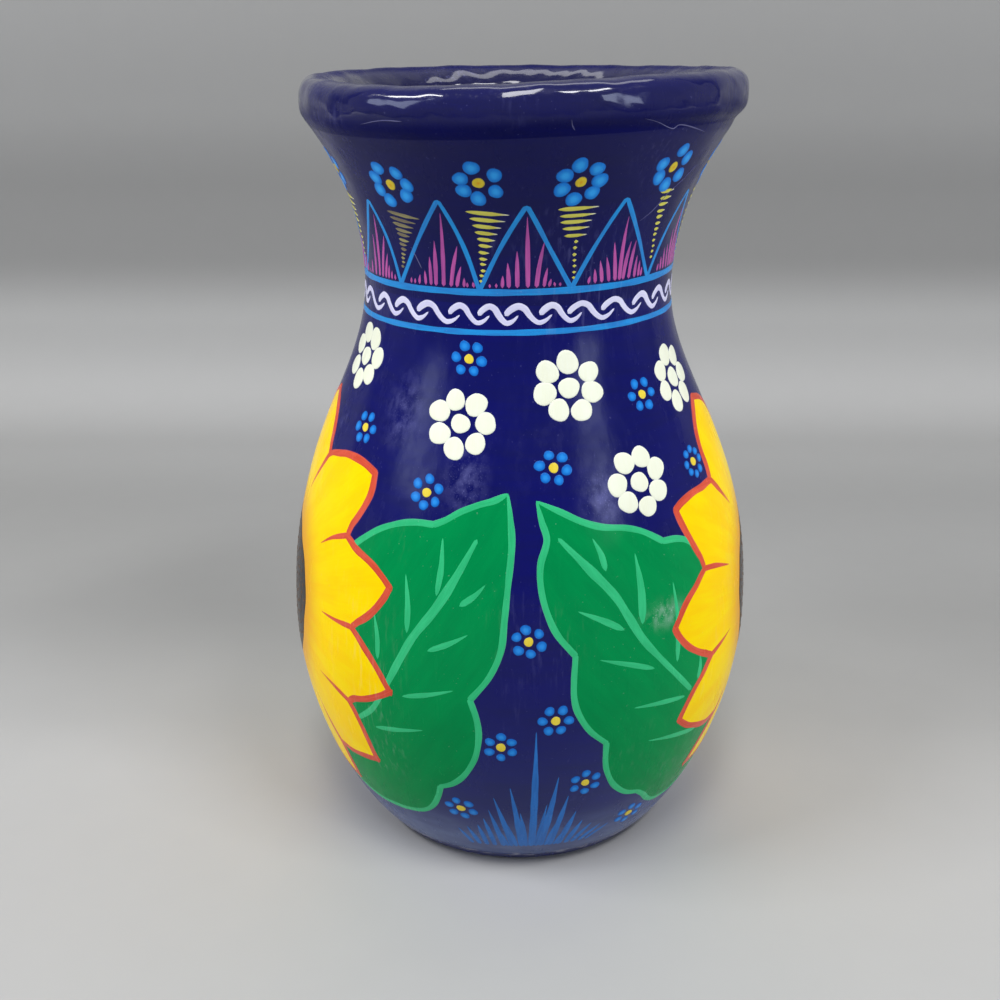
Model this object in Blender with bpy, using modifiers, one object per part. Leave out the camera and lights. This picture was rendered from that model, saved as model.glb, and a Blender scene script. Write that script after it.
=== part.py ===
"""Hand-built earthenware vase, turned about +Z and standing on the XY plane at the origin.

The clay body is five sections that a potter forms one by one and lutes together with slip:
a base slab, a lower bowl, a shoulder wall, a neck collar and a rolled lip. Each section sits
on the one below with a tongue in a groove, and the joint gap is the bed of slip.
All lengths are in metres.
"""

import math

import bpy

# Stations of the outer outline, from the table up
VASE_HEIGHT = 0.250
BASE_RADIUS = 0.0485
BELLY_RADIUS = 0.0773
BELLY_HEIGHT = 0.0764
WAIST_RADIUS = 0.0492
WAIST_HEIGHT = 0.1878
FLARE_RADIUS = 0.0658

# Lean of the wall from upright, where it leaves the table and where it meets the lip
FOOT_LEAN = math.radians(46.0)
FLARE_LEAN = math.radians(36.0)

# Fullness of each curve at its two ends, as shares of the height that the curve climbs
FOOT_FULLNESS = 0.33
BELLY_FULLNESS_BELOW = 0.29
BELLY_FULLNESS_ABOVE = 0.55
WAIST_FULLNESS_BELOW = 0.29
WAIST_FULLNESS_ABOVE = 0.42
FLARE_FULLNESS = 0.30

# Clay thickness, and the round of the base's edge on the table
WALL_THICKNESS = 0.0068
SLAB_THICKNESS = 0.0090
FOOT_ROUND = 0.0060

# Rolled lip: its height above the collar, outermost radius, crown and mouth
LIP_HEIGHT = 0.0140
LIP_RADIUS = 0.0690
LIP_CROWN_RADIUS = 0.0595
MOUTH_RADIUS = 0.0530
LIP_SHOULDER = 0.0065

# Tongue-and-groove joints between the sections
JOINT_GAP = 0.0003
GROOVE_HALF_WIDTH = 0.0018
GROOVE_DEPTH = 0.0020
TONGUE_HALF_WIDTH = GROOVE_HALF_WIDTH - 2 * JOINT_GAP

# Fineness of the turned surfaces
TURN_STEPS = 48
CURVE_STEPS = 12
LIP_STEPS = 5
ROUND_STEPS = 4
QUARTER_ROUND = 0.5523  # Bezier handle that makes a quarter of an ellipse

COLLAR_TOP = VASE_HEIGHT - LIP_HEIGHT

COBALT = (0.012, 0.008, 0.10, 1.0)
BARE_CLAY = (0.45, 0.20, 0.11, 1.0)


def clear_scene():
    """Remove what the startup file holds."""
    for obj in list(bpy.data.objects):
        bpy.data.objects.remove(obj)


def finish(name, colour, roughness):
    """A Principled material with one colour."""
    material = bpy.data.materials.new(name)
    material.use_nodes = True
    shader = material.node_tree.nodes["Principled BSDF"]
    shader.inputs["Base Color"].default_value = colour
    shader.inputs["Roughness"].default_value = roughness
    shader.inputs["Metallic"].default_value = 0.0
    return material


def bezier(start, start_handle, end_handle, end, steps):
    """Points (radius, height) along one cubic curve, both ends included."""
    points = []
    for step in range(steps + 1):
        t = step / steps
        weights = ((1 - t) ** 3, 3 * t * (1 - t) ** 2, 3 * t * t * (1 - t), t**3)
        corners = (start, start_handle, end_handle, end)
        points.append(
            tuple(sum(w * c[axis] for w, c in zip(weights, corners)) for axis in (0, 1))
        )
    return points


def outer_outline():
    """The outside of the clay from the table to the top of the collar, going up."""
    foot_reach = FOOT_FULLNESS * BELLY_HEIGHT
    waist_climb = WAIST_HEIGHT - BELLY_HEIGHT
    flare_climb = COLLAR_TOP - WAIST_HEIGHT
    flare_reach = FLARE_FULLNESS * flare_climb
    lower = bezier(
        (BASE_RADIUS, 0.0),
        (BASE_RADIUS + foot_reach * math.sin(FOOT_LEAN), foot_reach * math.cos(FOOT_LEAN)),
        (BELLY_RADIUS, BELLY_HEIGHT * (1 - BELLY_FULLNESS_BELOW)),
        (BELLY_RADIUS, BELLY_HEIGHT),
        CURVE_STEPS,
    )
    upper = bezier(
        (BELLY_RADIUS, BELLY_HEIGHT),
        (BELLY_RADIUS, BELLY_HEIGHT + BELLY_FULLNESS_ABOVE * waist_climb),
        (WAIST_RADIUS, WAIST_HEIGHT - WAIST_FULLNESS_BELOW * waist_climb),
        (WAIST_RADIUS, WAIST_HEIGHT),
        CURVE_STEPS,
    )
    flare = bezier(
        (WAIST_RADIUS, WAIST_HEIGHT),
        (WAIST_RADIUS, WAIST_HEIGHT + WAIST_FULLNESS_ABOVE * flare_climb),
        (
            FLARE_RADIUS - flare_reach * math.sin(FLARE_LEAN),
            COLLAR_TOP - flare_reach * math.cos(FLARE_LEAN),
        ),
        (FLARE_RADIUS, COLLAR_TOP),
        CURVE_STEPS // 2,
    )
    return lower + upper[1:] + flare[1:]


def inset(points, distance):
    """The same line moved inwards, square to itself, with its ends run on past the old heights."""
    moved = []
    for index, (radius, height) in enumerate(points):
        before = points[max(index - 1, 0)]
        after = points[min(index + 1, len(points) - 1)]
        along = (after[0] - before[0], after[1] - before[1])
        length = math.hypot(*along)
        moved.append(
            (radius - distance * along[1] / length, height + distance * along[0] / length)
        )
    (r0, z0), (r1, z1) = moved[0], moved[1]
    first = (r0 - (r1 - r0) * (z0 - points[0][1]) / (z1 - z0), points[0][1])
    (r0, z0), (r1, z1) = moved[-2], moved[-1]
    last_height = points[-1][1]
    while moved[-1][1] >= last_height:
        moved.pop()
    share = (last_height - moved[-1][1]) / (z1 - moved[-1][1])
    last = (moved[-1][0] + (r1 - moved[-1][0]) * share, last_height)
    return [first] + moved + [last]


def radius_at(points, height):
    """Radius of a rising line where it passes a height."""
    for (r0, z0), (r1, z1) in zip(points, points[1:]):
        if z0 <= height <= z1:
            return r0 + (r1 - r0) * (height - z0) / (z1 - z0)
    raise ValueError(f"the outline doesn't pass height {height}")


def stretch(points, low, high):
    """The part of a rising line between two heights, with its ends cut exactly there."""
    inside = [p for p in points if low + JOINT_GAP < p[1] < high - JOINT_GAP]
    return [(radius_at(points, low), low)] + inside + [(radius_at(points, high), high)]


def joint_radius(outer, inner, height):
    """Middle of the wall, where the tongue and its groove run."""
    return (radius_at(outer, height) + radius_at(inner, height)) / 2


def groove(middle, height):
    """Points of a groove in a rim, from the inside out."""
    return [
        (middle - GROOVE_HALF_WIDTH, height),
        (middle, height - GROOVE_DEPTH),
        (middle + GROOVE_HALF_WIDTH, height),
    ]


def tongue(middle, height):
    """Points of the tongue under a section, from the outside in."""
    return [
        (middle + TONGUE_HALF_WIDTH, height),
        (middle, height - GROOVE_DEPTH),
        (middle - TONGUE_HALF_WIDTH, height),
    ]


def turned(name, section, material, closed):
    """Spin a section (radius, height) about +Z. It runs down the outside of the solid."""
    mesh = bpy.data.meshes.new(name)
    count = len(section)
    edges = [(i, i + 1) for i in range(count - 1)]
    if closed:
        edges.append((count - 1, 0))
    mesh.from_pydata([(radius, 0.0, height) for radius, height in section], edges, [])
    mesh.materials.append(material)
    obj = bpy.data.objects.new(name, mesh)
    spin = obj.modifiers.new("Turn", "SCREW")
    spin.axis = "Z"
    spin.angle = 2 * math.pi
    spin.steps = TURN_STEPS
    spin.render_steps = TURN_STEPS
    spin.use_merge_vertices = True
    spin.merge_threshold = 0.00001
    spin.use_smooth_shade = True
    return obj


def base_slab(outer, inner, material):
    """Flat disc that closes the vase: its edge is the foot of the outside."""
    top = SLAB_THICKNESS - JOINT_GAP / 2
    half_turn = (math.pi / 2 - FOOT_LEAN) / 2
    reach = FOOT_ROUND * math.tan(half_turn)
    centre = (BASE_RADIUS - reach, FOOT_ROUND)
    foot_round = [
        (
            centre[0] + FOOT_ROUND * math.sin(2 * half_turn * step / ROUND_STEPS),
            centre[1] - FOOT_ROUND * math.cos(2 * half_turn * step / ROUND_STEPS),
        )
        for step in range(ROUND_STEPS + 1)
    ]
    edge = stretch(outer, foot_round[-1][1] + JOINT_GAP, top)
    rim = groove(joint_radius(outer, inner, SLAB_THICKNESS), top)
    section = [(0.0, top)] + rim + edge[::-1] + foot_round[::-1] + [(0.0, 0.0)]
    return turned("base_slab", section, material, closed=False)


def wall_section(name, outer, inner, low, high, material):
    """One ring of wall between two joint heights, tongue below and groove above."""
    bottom = low + JOINT_GAP / 2
    top = high - JOINT_GAP / 2
    outside = stretch(outer, bottom, top)
    inside = stretch(inner, bottom, top)
    section = (
        outside[::-1]
        + tongue(joint_radius(outer, inner, low), bottom)
        + inside
        + groove(joint_radius(outer, inner, high), top)
    )
    return turned(name, section, material, closed=True)


def rolled_lip(outer, inner, material):
    """Thick roll of clay round the mouth, seated on the collar."""
    seat = COLLAR_TOP + JOINT_GAP / 2
    outer_seat = (radius_at(outer, COLLAR_TOP), seat)
    inner_seat = (radius_at(inner, COLLAR_TOP), seat)
    widest = VASE_HEIGHT - LIP_SHOULDER
    bulge = LIP_RADIUS - LIP_CROWN_RADIUS
    throat = LIP_CROWN_RADIUS - MOUTH_RADIUS
    crown = (LIP_CROWN_RADIUS, VASE_HEIGHT)
    climb = (widest - seat) / 2
    over_inside = bezier(
        (MOUTH_RADIUS, widest),
        (MOUTH_RADIUS, widest + QUARTER_ROUND * LIP_SHOULDER),
        (LIP_CROWN_RADIUS - QUARTER_ROUND * throat, VASE_HEIGHT),
        crown,
        LIP_STEPS,
    )
    over_outside = bezier(
        crown,
        (LIP_CROWN_RADIUS + QUARTER_ROUND * bulge, VASE_HEIGHT),
        (LIP_RADIUS, widest + QUARTER_ROUND * LIP_SHOULDER),
        (LIP_RADIUS, widest),
        LIP_STEPS,
    )
    down_outside = bezier(
        (LIP_RADIUS, widest),
        (LIP_RADIUS, widest - climb),
        (outer_seat[0] + climb * math.tan(FLARE_LEAN), seat + climb),
        outer_seat,
        LIP_STEPS,
    )
    up_inside = bezier(
        inner_seat,
        (inner_seat[0], seat + climb),
        (MOUTH_RADIUS, widest - climb),
        (MOUTH_RADIUS, widest),
        LIP_STEPS,
    )
    section = (
        over_inside
        + over_outside[1:]
        + down_outside[1:]
        + tongue(joint_radius(outer, inner, COLLAR_TOP), seat)
        + up_inside[:-1]
    )
    return turned("rolled_lip", section, material, closed=True)


def main():
    clear_scene()
    painted = finish("painted_clay", COBALT, 0.25)
    bare = finish("bare_clay", BARE_CLAY, 0.85)
    outer = outer_outline()
    inner = inset(outer, WALL_THICKNESS)

    sections = [
        base_slab(outer, inner, bare),
        wall_section("lower_bowl", outer, inner, SLAB_THICKNESS, BELLY_HEIGHT, painted),
        wall_section("shoulder_wall", outer, inner, BELLY_HEIGHT, WAIST_HEIGHT, painted),
        wall_section("neck_collar", outer, inner, WAIST_HEIGHT, COLLAR_TOP, painted),
        rolled_lip(outer, inner, painted),
    ]
    vase = bpy.data.collections.new("ceramic_vase")
    bpy.context.scene.collection.children.link(vase)
    axis = bpy.data.objects.new("vase_axis", None)
    vase.objects.link(axis)
    for section in sections:
        vase.objects.link(section)
        section.parent = axis


main()
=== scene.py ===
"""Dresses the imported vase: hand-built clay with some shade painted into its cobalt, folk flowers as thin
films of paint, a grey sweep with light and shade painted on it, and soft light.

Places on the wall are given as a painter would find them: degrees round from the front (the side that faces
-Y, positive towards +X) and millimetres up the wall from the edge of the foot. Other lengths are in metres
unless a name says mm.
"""

import logging
import math
from dataclasses import dataclass, field
from enum import Enum
from functools import partial
from typing import Callable, Optional, Sequence

import bpy
import numpy as np
from bpy.types import bpy_prop_collection as Sockets, NodeSocket as Socket
from bpy.types import Material, Mesh, Node, NodeTree, Object
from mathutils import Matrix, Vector
from mathutils.geometry import delaunay_2d_cdt
from numpy.linalg import norm


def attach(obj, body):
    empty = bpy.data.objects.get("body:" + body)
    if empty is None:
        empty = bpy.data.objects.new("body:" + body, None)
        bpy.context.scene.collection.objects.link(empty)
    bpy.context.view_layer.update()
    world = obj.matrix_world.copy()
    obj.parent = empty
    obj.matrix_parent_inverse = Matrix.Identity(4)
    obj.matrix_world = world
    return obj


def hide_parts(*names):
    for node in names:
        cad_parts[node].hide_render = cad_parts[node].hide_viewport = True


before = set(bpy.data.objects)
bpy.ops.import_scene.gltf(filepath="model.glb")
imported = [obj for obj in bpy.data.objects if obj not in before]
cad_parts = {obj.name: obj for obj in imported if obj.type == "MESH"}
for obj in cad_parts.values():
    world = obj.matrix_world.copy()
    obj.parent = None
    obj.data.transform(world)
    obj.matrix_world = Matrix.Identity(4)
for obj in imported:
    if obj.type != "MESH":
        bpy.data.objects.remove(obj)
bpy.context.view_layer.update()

LOG = logging.getLogger("vase")
BODY = "root"
MM = 0.001

Spot = tuple[float, float]
Point = tuple[float, float, float]
Colour = tuple[float, float, float]
Wave = tuple[float, int, float, float]
Array = np.ndarray


def srgb(screen: Colour) -> Colour:
    """Turn a screen colour linear, as a shader takes it.

    Args:
        screen: Red, green and blue from 0 to 255.

    Returns:
        The linear colour.
    """
    linear = []
    for channel in screen:
        share = channel / 255
        linear.append(share / 12.92 if share <= 0.04045 else ((share + 0.055) / 1.055) ** 2.4)
    return tuple(linear)


def smooth_step(low: float, high: float, value: Array) -> Array:
    """Ease from 0 at low to 1 at high."""
    share = np.clip((value - low) / (high - low), 0, 1)
    return share * share * (3 - 2 * share)


def curves(corners: Sequence[Spot], steps: int) -> Array:
    """Points along cubic curves that are joined end to end.

    Args:
        corners: Start of the first curve, then two handles and the end of each curve.
        steps: Number of steps along each curve.

    Returns:
        Array of points, both ends included.
    """
    t = np.linspace(0, 1, steps + 1)[1:, None]
    left = 1 - t
    knots = np.array(corners)
    line = [knots[:1]]
    for start, leave, arrive, end in zip(knots[::3], knots[1::3], knots[2::3], knots[3::3]):
        line.append(left**3 * start + 3 * t * left**2 * leave + 3 * t * t * left * arrive + t**3 * end)
    return np.vstack(line)


def through(points: Sequence[Spot], per_span: int = 12) -> Array:
    """A smooth line through given points.

    Args:
        points: The points, in order.
        per_span: Steps between each two points.

    Returns:
        Array of points on the line, with the chosen ones among them.
    """
    knots = np.array(points, dtype=float)
    padded = np.vstack([2 * knots[0] - knots[1], knots, 2 * knots[-1] - knots[-2]])
    t = np.linspace(0, 1, per_span, endpoint=False)[:, None]
    spans = []
    for before, start, end, after in zip(padded, padded[1:], padded[2:], padded[3:]):
        leave = (end - before) / 2
        arrive = (after - start) / 2
        spans.append(
            (2 * t**3 - 3 * t**2 + 1) * start
            + (t**3 - 2 * t**2 + t) * leave
            + (3 * t**2 - 2 * t**3) * end
            + (t**3 - t**2) * arrive
        )
    return np.vstack(spans + [knots[-1:]])


def unit(ways: Array) -> Array:
    """The same ways, each of length one."""
    return ways / norm(ways, axis=-1)[..., None]


def turned(spots: Sequence[Spot], degrees: float) -> tuple[Spot, ...]:
    """The same places further round the vase."""
    return tuple((around + degrees, up) for around, up in spots)


def even_steps(line: Array, step: float) -> Array:
    """The same line with its points at even distances.

    Args:
        line: Its points.
        step: About how far apart the new points are.

    Returns:
        Array of points, both ends included.
    """
    lengths = np.append(0.0, np.cumsum(norm(np.diff(line, axis=0), axis=1)))
    count = max(2, int(round(lengths[-1] / step)) + 1)
    places = np.linspace(0, lengths[-1], count)
    return np.stack([np.interp(places, lengths, line[:, axis]) for axis in range(line.shape[1])], axis=1)


@dataclass(frozen=True)
class Wall:
    """Outline of the clay, with the sizes of its solids but a slimmer lip with a tighter inner edge."""

    height: float = 0.250
    base_radius: float = 0.0485
    belly_radius: float = 0.0773
    belly_height: float = 0.0764
    waist_radius: float = 0.0492
    waist_height: float = 0.1878
    flare_radius: float = 0.0658
    foot_lean: float = math.radians(46.0)
    flare_lean: float = math.radians(36.0)
    foot_fullness: float = 0.33
    belly_fullness_below: float = 0.29
    belly_fullness_above: float = 0.55
    waist_fullness_below: float = 0.29
    waist_fullness_above: float = 0.42
    flare_fullness: float = 0.30
    thickness: float = 0.0068
    slab_thickness: float = 0.0090
    foot_round: float = 0.0060
    lip_height: float = 0.0140
    lip_radius: float = 0.0684
    lip_crown_radius: float = 0.0622
    mouth_radius: float = 0.0530
    lip_shoulder: float = 0.0065
    throat_round: float = 0.26
    shoulder_round: float = 0.68
    steps: int = 120
    lip_steps: int = 30

    @property
    def collar_top(self) -> float:
        """Height at which the lip sits on the neck."""
        return self.height - self.lip_height

    def outside(self) -> Array:
        """Draw the outside.

        Returns:
            Array of radius and height, from the foot's edge up to the top of the neck.
        """
        foot_reach = self.foot_fullness * self.belly_height
        waist_climb = self.waist_height - self.belly_height
        flare_climb = self.collar_top - self.waist_height
        flare_reach = self.flare_fullness * flare_climb
        corners = (
            (self.base_radius, 0.0),
            (self.base_radius + foot_reach * math.sin(self.foot_lean), foot_reach * math.cos(self.foot_lean)),
            (self.belly_radius, self.belly_height * (1 - self.belly_fullness_below)),
            (self.belly_radius, self.belly_height),
            (self.belly_radius, self.belly_height + self.belly_fullness_above * waist_climb),
            (self.waist_radius, self.waist_height - self.waist_fullness_below * waist_climb),
            (self.waist_radius, self.waist_height),
            (self.waist_radius, self.waist_height + self.waist_fullness_above * flare_climb),
            (
                self.flare_radius - flare_reach * math.sin(self.flare_lean),
                self.collar_top - flare_reach * math.cos(self.flare_lean),
            ),
            (self.flare_radius, self.collar_top),
        )
        return curves(corners, self.steps)

    def lip(self) -> Array:
        """Draw the rolled lip.

        Returns:
            Array of radius and height, from its outer seat over the crown to its inner seat.
        """
        widest = self.height - self.lip_shoulder
        climb = (widest - self.collar_top) / 2
        bulge = self.shoulder_round * (self.lip_radius - self.lip_crown_radius)
        throat = self.throat_round * (self.lip_crown_radius - self.mouth_radius)
        rise = self.throat_round * self.lip_shoulder
        inner_seat = self.inner_radius(self.collar_top)
        corners = (
            (self.flare_radius, self.collar_top),
            (self.flare_radius + climb * math.tan(self.flare_lean), self.collar_top + climb),
            (self.lip_radius, widest - climb),
            (self.lip_radius, widest),
            (self.lip_radius, widest + self.shoulder_round * self.lip_shoulder),
            (self.lip_crown_radius + bulge, self.height),
            (self.lip_crown_radius, self.height),
            (self.lip_crown_radius - throat, self.height),
            (self.mouth_radius, widest + rise),
            (self.mouth_radius, widest),
            (self.mouth_radius, widest - climb),
            (inner_seat, self.collar_top + climb),
            (inner_seat, self.collar_top),
        )
        return curves(corners, self.lip_steps)

    def inside(self) -> Array:
        """Move the outside in by the thickness of the clay.

        Returns:
            Array of radius and height, going up.
        """
        outer = self.outside()
        along = unit(np.gradient(outer, axis=0))
        return outer - self.thickness * np.c_[along[:, 1], -along[:, 0]]

    def inner_radius(self, height: float) -> float:
        """Radius of the inside at a height."""
        line = self.inside()
        return float(np.interp(height, line[:, 1], line[:, 0]))


def waves(table: Sequence[Wave], angle: Array, along: Array) -> Array:
    """Add up waves that run round the vase.

    Args:
        table: Each wave's height in mm, its number round the vase, where it starts and how it climbs.
        angle: Radians round from the front.
        along: What the waves climb with.

    Returns:
        Array of millimetres.
    """
    total = np.zeros(1)
    for height, number, start, climb in table:
        total = total + height * np.sin(number * angle + start + climb * along)
    return total


@dataclass
class HandBuilt:
    """Puts points on the vase as it was built by hand: out of true, with an uneven lip.

    Values that end in from are shares of the height between which a thing takes hold.
    """

    wall: Wall
    out_of_round: tuple[Wave, ...] = (
        (0.45, 2, 0.7, 0), (0.25, 3, 0, -9), (0.10, 5, 0, 14), (0.07, 9, 1.3, -31),
    )
    lumps: tuple[Wave, ...] = (
        (0.16, 13, 2.1, 40), (0.13, 19, 0.4, -55), (0.09, 31, 4, 20), (0.022, 53, 1.1, 330),
    )
    dents: tuple[Wave, ...] = ((0.10, 15, 1.9, 260), (0.07, 27, 0.3, -390), (0.03, 53, 2.2, 700))
    body_from: Spot = (0.03, 0.25)
    rim_from: Spot = (0.74, 1.0)
    roll_from: Spot = (0.93, 0.985)
    fold_height: float = 0.9535
    fold_tilt: float = 0.010
    fold_width: float = 0.0065
    rim_tilt: float = 1.7 * MM
    rim_wave: float = 0.7 * MM
    rim_drop: float = 0.25 * MM
    left_rise: float = 1.3 * MM
    left_turn: float = 1.45
    left_width: float = 0.65
    tilt_turn: float = math.radians(14.0)

    def __post_init__(self) -> None:
        """Measure the painted side of the wall once."""
        self.line = np.vstack([self.wall.outside(), self.wall.lip()[1:]])
        steps = norm(np.diff(self.line, axis=0), axis=1)
        self.reach = np.append(0.0, np.cumsum(steps)) / MM
        along = unit(np.gradient(self.line, axis=0))
        self.square = np.c_[along[:, 1], -along[:, 0]]

    def radius_mm(self, up_mm: Array) -> Array:
        """Radius of the wall in millimetres at a reach up the wall."""
        return np.interp(up_mm, self.reach, self.line[:, 0]) / MM

    def place(self, angle: Array, radius: Array, height: Array) -> Array:
        """Turn true places into places on the uneven vase.

        Args:
            angle: Radians round from the front.
            radius: True radius.
            height: True height.

        Returns:
            Array of points in the shared frame.
        """
        up = height / self.wall.height
        body = smooth_step(*self.body_from, up)
        rim = smooth_step(*self.rim_from, up)
        roll = smooth_step(*self.roll_from, up)
        fold_height = self.fold_height - self.fold_tilt * np.sin(angle - 0.2)
        fold_depth = 0.18 + 0.55 * smooth_step(0.0, 0.6, np.sin(angle + 0.15))
        fold = fold_depth * np.exp(-(((up - fold_height) / self.fold_width) ** 2))
        ring = body * waves(self.out_of_round, angle, up) + roll * waves(self.lumps, angle, up)
        swell = (ring - fold) * MM
        from_left = (angle + np.pi) % (2 * np.pi) - np.pi + self.left_turn
        lift = rim * (
            self.rim_tilt * np.sin(angle - self.tilt_turn)
            + self.left_rise * np.exp(-((from_left / self.left_width) ** 2))
            + self.rim_wave * np.sin(2 * angle)
            - self.rim_drop
            + roll * waves(self.dents, angle, radius) * MM
        )
        drift = MM * (0.2 * smooth_step(0.8, 1.0, up) - 0.4 * smooth_step(0.5, 0.75, up) * (1 - rim))
        wide = radius + swell
        return np.stack([wide * np.sin(angle) + drift, -wide * np.cos(angle), height + lift], axis=-1)

    def spot(self, round_deg: Array, up_mm: Array, lift_mm: Array) -> Array:
        """Points on the painted side of the wall.

        Args:
            round_deg: Degrees round from the front.
            up_mm: Millimetres up the wall from the foot's edge.
            lift_mm: Millimetres off the wall, square to it.

        Returns:
            Array of points in the shared frame.
        """
        lift = np.asarray(lift_mm) * MM
        places = []
        for axis in (0, 1):
            square = np.interp(up_mm, self.reach, self.square[:, axis])
            places.append(np.interp(up_mm, self.reach, self.line[:, axis]) + lift * square)
        return self.place(np.radians(round_deg), *places)

    def facing(self, round_deg: Array, up_mm: Array) -> Array:
        """Way that the wall faces at places on it.

        Args:
            round_deg: Degrees round from the front.
            up_mm: Millimetres up the wall.

        Returns:
            Array of unit vectors.
        """
        tiny = 0.05
        flat = np.zeros_like(up_mm)
        across = self.spot(round_deg + tiny, up_mm, flat) - self.spot(round_deg - tiny, up_mm, flat)
        along = self.spot(round_deg, up_mm + tiny, flat) - self.spot(round_deg, up_mm - tiny, flat)
        return unit(np.cross(across, along))


def write_values(mesh: Mesh, label: str, values: Sequence[Array]) -> None:
    """Write one value on each point of a mesh, for its finish to read."""
    attribute = mesh.attributes.new(label, "FLOAT", "POINT")
    attribute.data.foreach_set("value", np.concatenate(values).astype(np.float32))


def link(name: str, mesh: Mesh, material: Material) -> Object:
    """Put a finished mesh in the scene as a piece of the vase.

    Args:
        name: Name of the piece.
        mesh: Its mesh.
        material: Its finish.

    Returns:
        The new object.
    """
    mesh.materials.append(material)
    piece = bpy.data.objects.new(name, mesh)
    bpy.context.scene.collection.objects.link(piece)
    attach(piece, BODY)
    LOG.info("%s: %d faces", name, len(mesh.polygons))
    return piece


@dataclass
class Board:
    """Short ways to set out shader nodes on one node tree."""

    tree: NodeTree

    def add(self, kind: str, **settings: object) -> Node:
        """Add a node.

        Args:
            kind: Blender's name for it.
            settings: Its own properties by name.

        Returns:
            The node.
        """
        node = self.tree.nodes.new(kind)
        for key, value in settings.items():
            setattr(node, key, value)
        return node

    def join(self, source: Socket, target: Socket) -> None:
        """Link two sockets."""
        self.tree.links.new(source, target)

    def feed(self, socket: Socket, value: object) -> None:
        """Link an input to another socket, or set it to a plain value.

        Args:
            socket: The input.
            value: Socket or plain value.
        """
        if isinstance(value, Socket):
            self.join(value, socket)
        else:
            socket.default_value = value

    def math(self, operation: str, first: object, second: object, clamp: bool = False) -> Socket:
        """One sum on values that change over the surface.

        Args:
            operation: Blender's name for the sum.
            first: Socket or number.
            second: Socket or number.
            clamp: Keep the answer between 0 and 1.

        Returns:
            The answer's socket.
        """
        node = self.add("ShaderNodeMath", operation=operation, use_clamp=clamp)
        self.feed(node.inputs[0], first)
        self.feed(node.inputs[1], second)
        return node.outputs[0]

    def times(self, first: object, second: object, clamp: bool = False) -> Socket:
        """Two values multiplied."""
        return self.math("MULTIPLY", first, second, clamp)

    def plus(self, first: object, second: object, clamp: bool = False) -> Socket:
        """Two values added."""
        return self.math("ADD", first, second, clamp)

    def attribute(self, name: str, kind: str = "Fac") -> Socket:
        """Values that are written on the points of the mesh."""
        return self.add("ShaderNodeAttribute", attribute_name=name).outputs[kind]

    def axes(self, vector: Socket) -> Sockets:
        """Split a vector.

        Args:
            vector: Its socket.

        Returns:
            The sockets of its three parts.
        """
        node = self.add("ShaderNodeSeparateXYZ")
        self.join(vector, node.inputs[0])
        return node.outputs

    def mix(self, factor: object, first: object, second: object) -> Socket:
        """Blend two colours.

        Args:
            factor: 0 for the first, 1 for the second.
            first: Socket or colour.
            second: Socket or colour.

        Returns:
            The blend's socket.
        """
        node = self.add("ShaderNodeMix", data_type="RGBA")
        self.feed(node.inputs[0], factor)
        for index, value in ((6, first), (7, second)):
            self.feed(node.inputs[index], value if isinstance(value, Socket) else (*value, 1.0))
        return node.outputs[2]

    def noise(self, vector: Socket, stretch: Colour, detail: float = 3.0) -> Socket:
        """Soft noise, stretched along the axes, from 0 to 1.

        Args:
            vector: Coordinates to read.
            stretch: How many cells fit in one unit along each axis.
            detail: Octaves of finer noise.

        Returns:
            The noise value's socket.
        """
        mapping = self.add("ShaderNodeMapping")
        mapping.inputs["Scale"].default_value = stretch
        self.join(vector, mapping.inputs["Vector"])
        texture = self.add("ShaderNodeTexNoise")
        texture.inputs["Scale"].default_value = 1.0
        texture.inputs["Detail"].default_value = detail
        self.join(mapping.outputs["Vector"], texture.inputs["Vector"])
        return texture.outputs[0]

    def use(self, tree: NodeTree, **values: object) -> Sockets:
        """Place a group with its own values.

        Args:
            tree: The group.
            values: Sockets or plain values for its inputs, by their names.

        Returns:
            Its output sockets by name.
        """
        node = self.add("ShaderNodeGroup", node_tree=tree)
        for label, value in values.items():
            self.feed(node.inputs[label], value)
        return node.outputs

    def between(self, value: Socket, low: object, high: object) -> Socket:
        """Ease a value from 0 at low to 1 at high.

        Args:
            value: The value's socket.
            low: Socket or number.
            high: Socket or number.

        Returns:
            The eased value's socket.
        """
        node = self.add("ShaderNodeMapRange", interpolation_type="SMOOTHSTEP")
        self.feed(node.inputs["Value"], value)
        self.feed(node.inputs["From Min"], low)
        self.feed(node.inputs["From Max"], high)
        return node.outputs["Result"]


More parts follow.
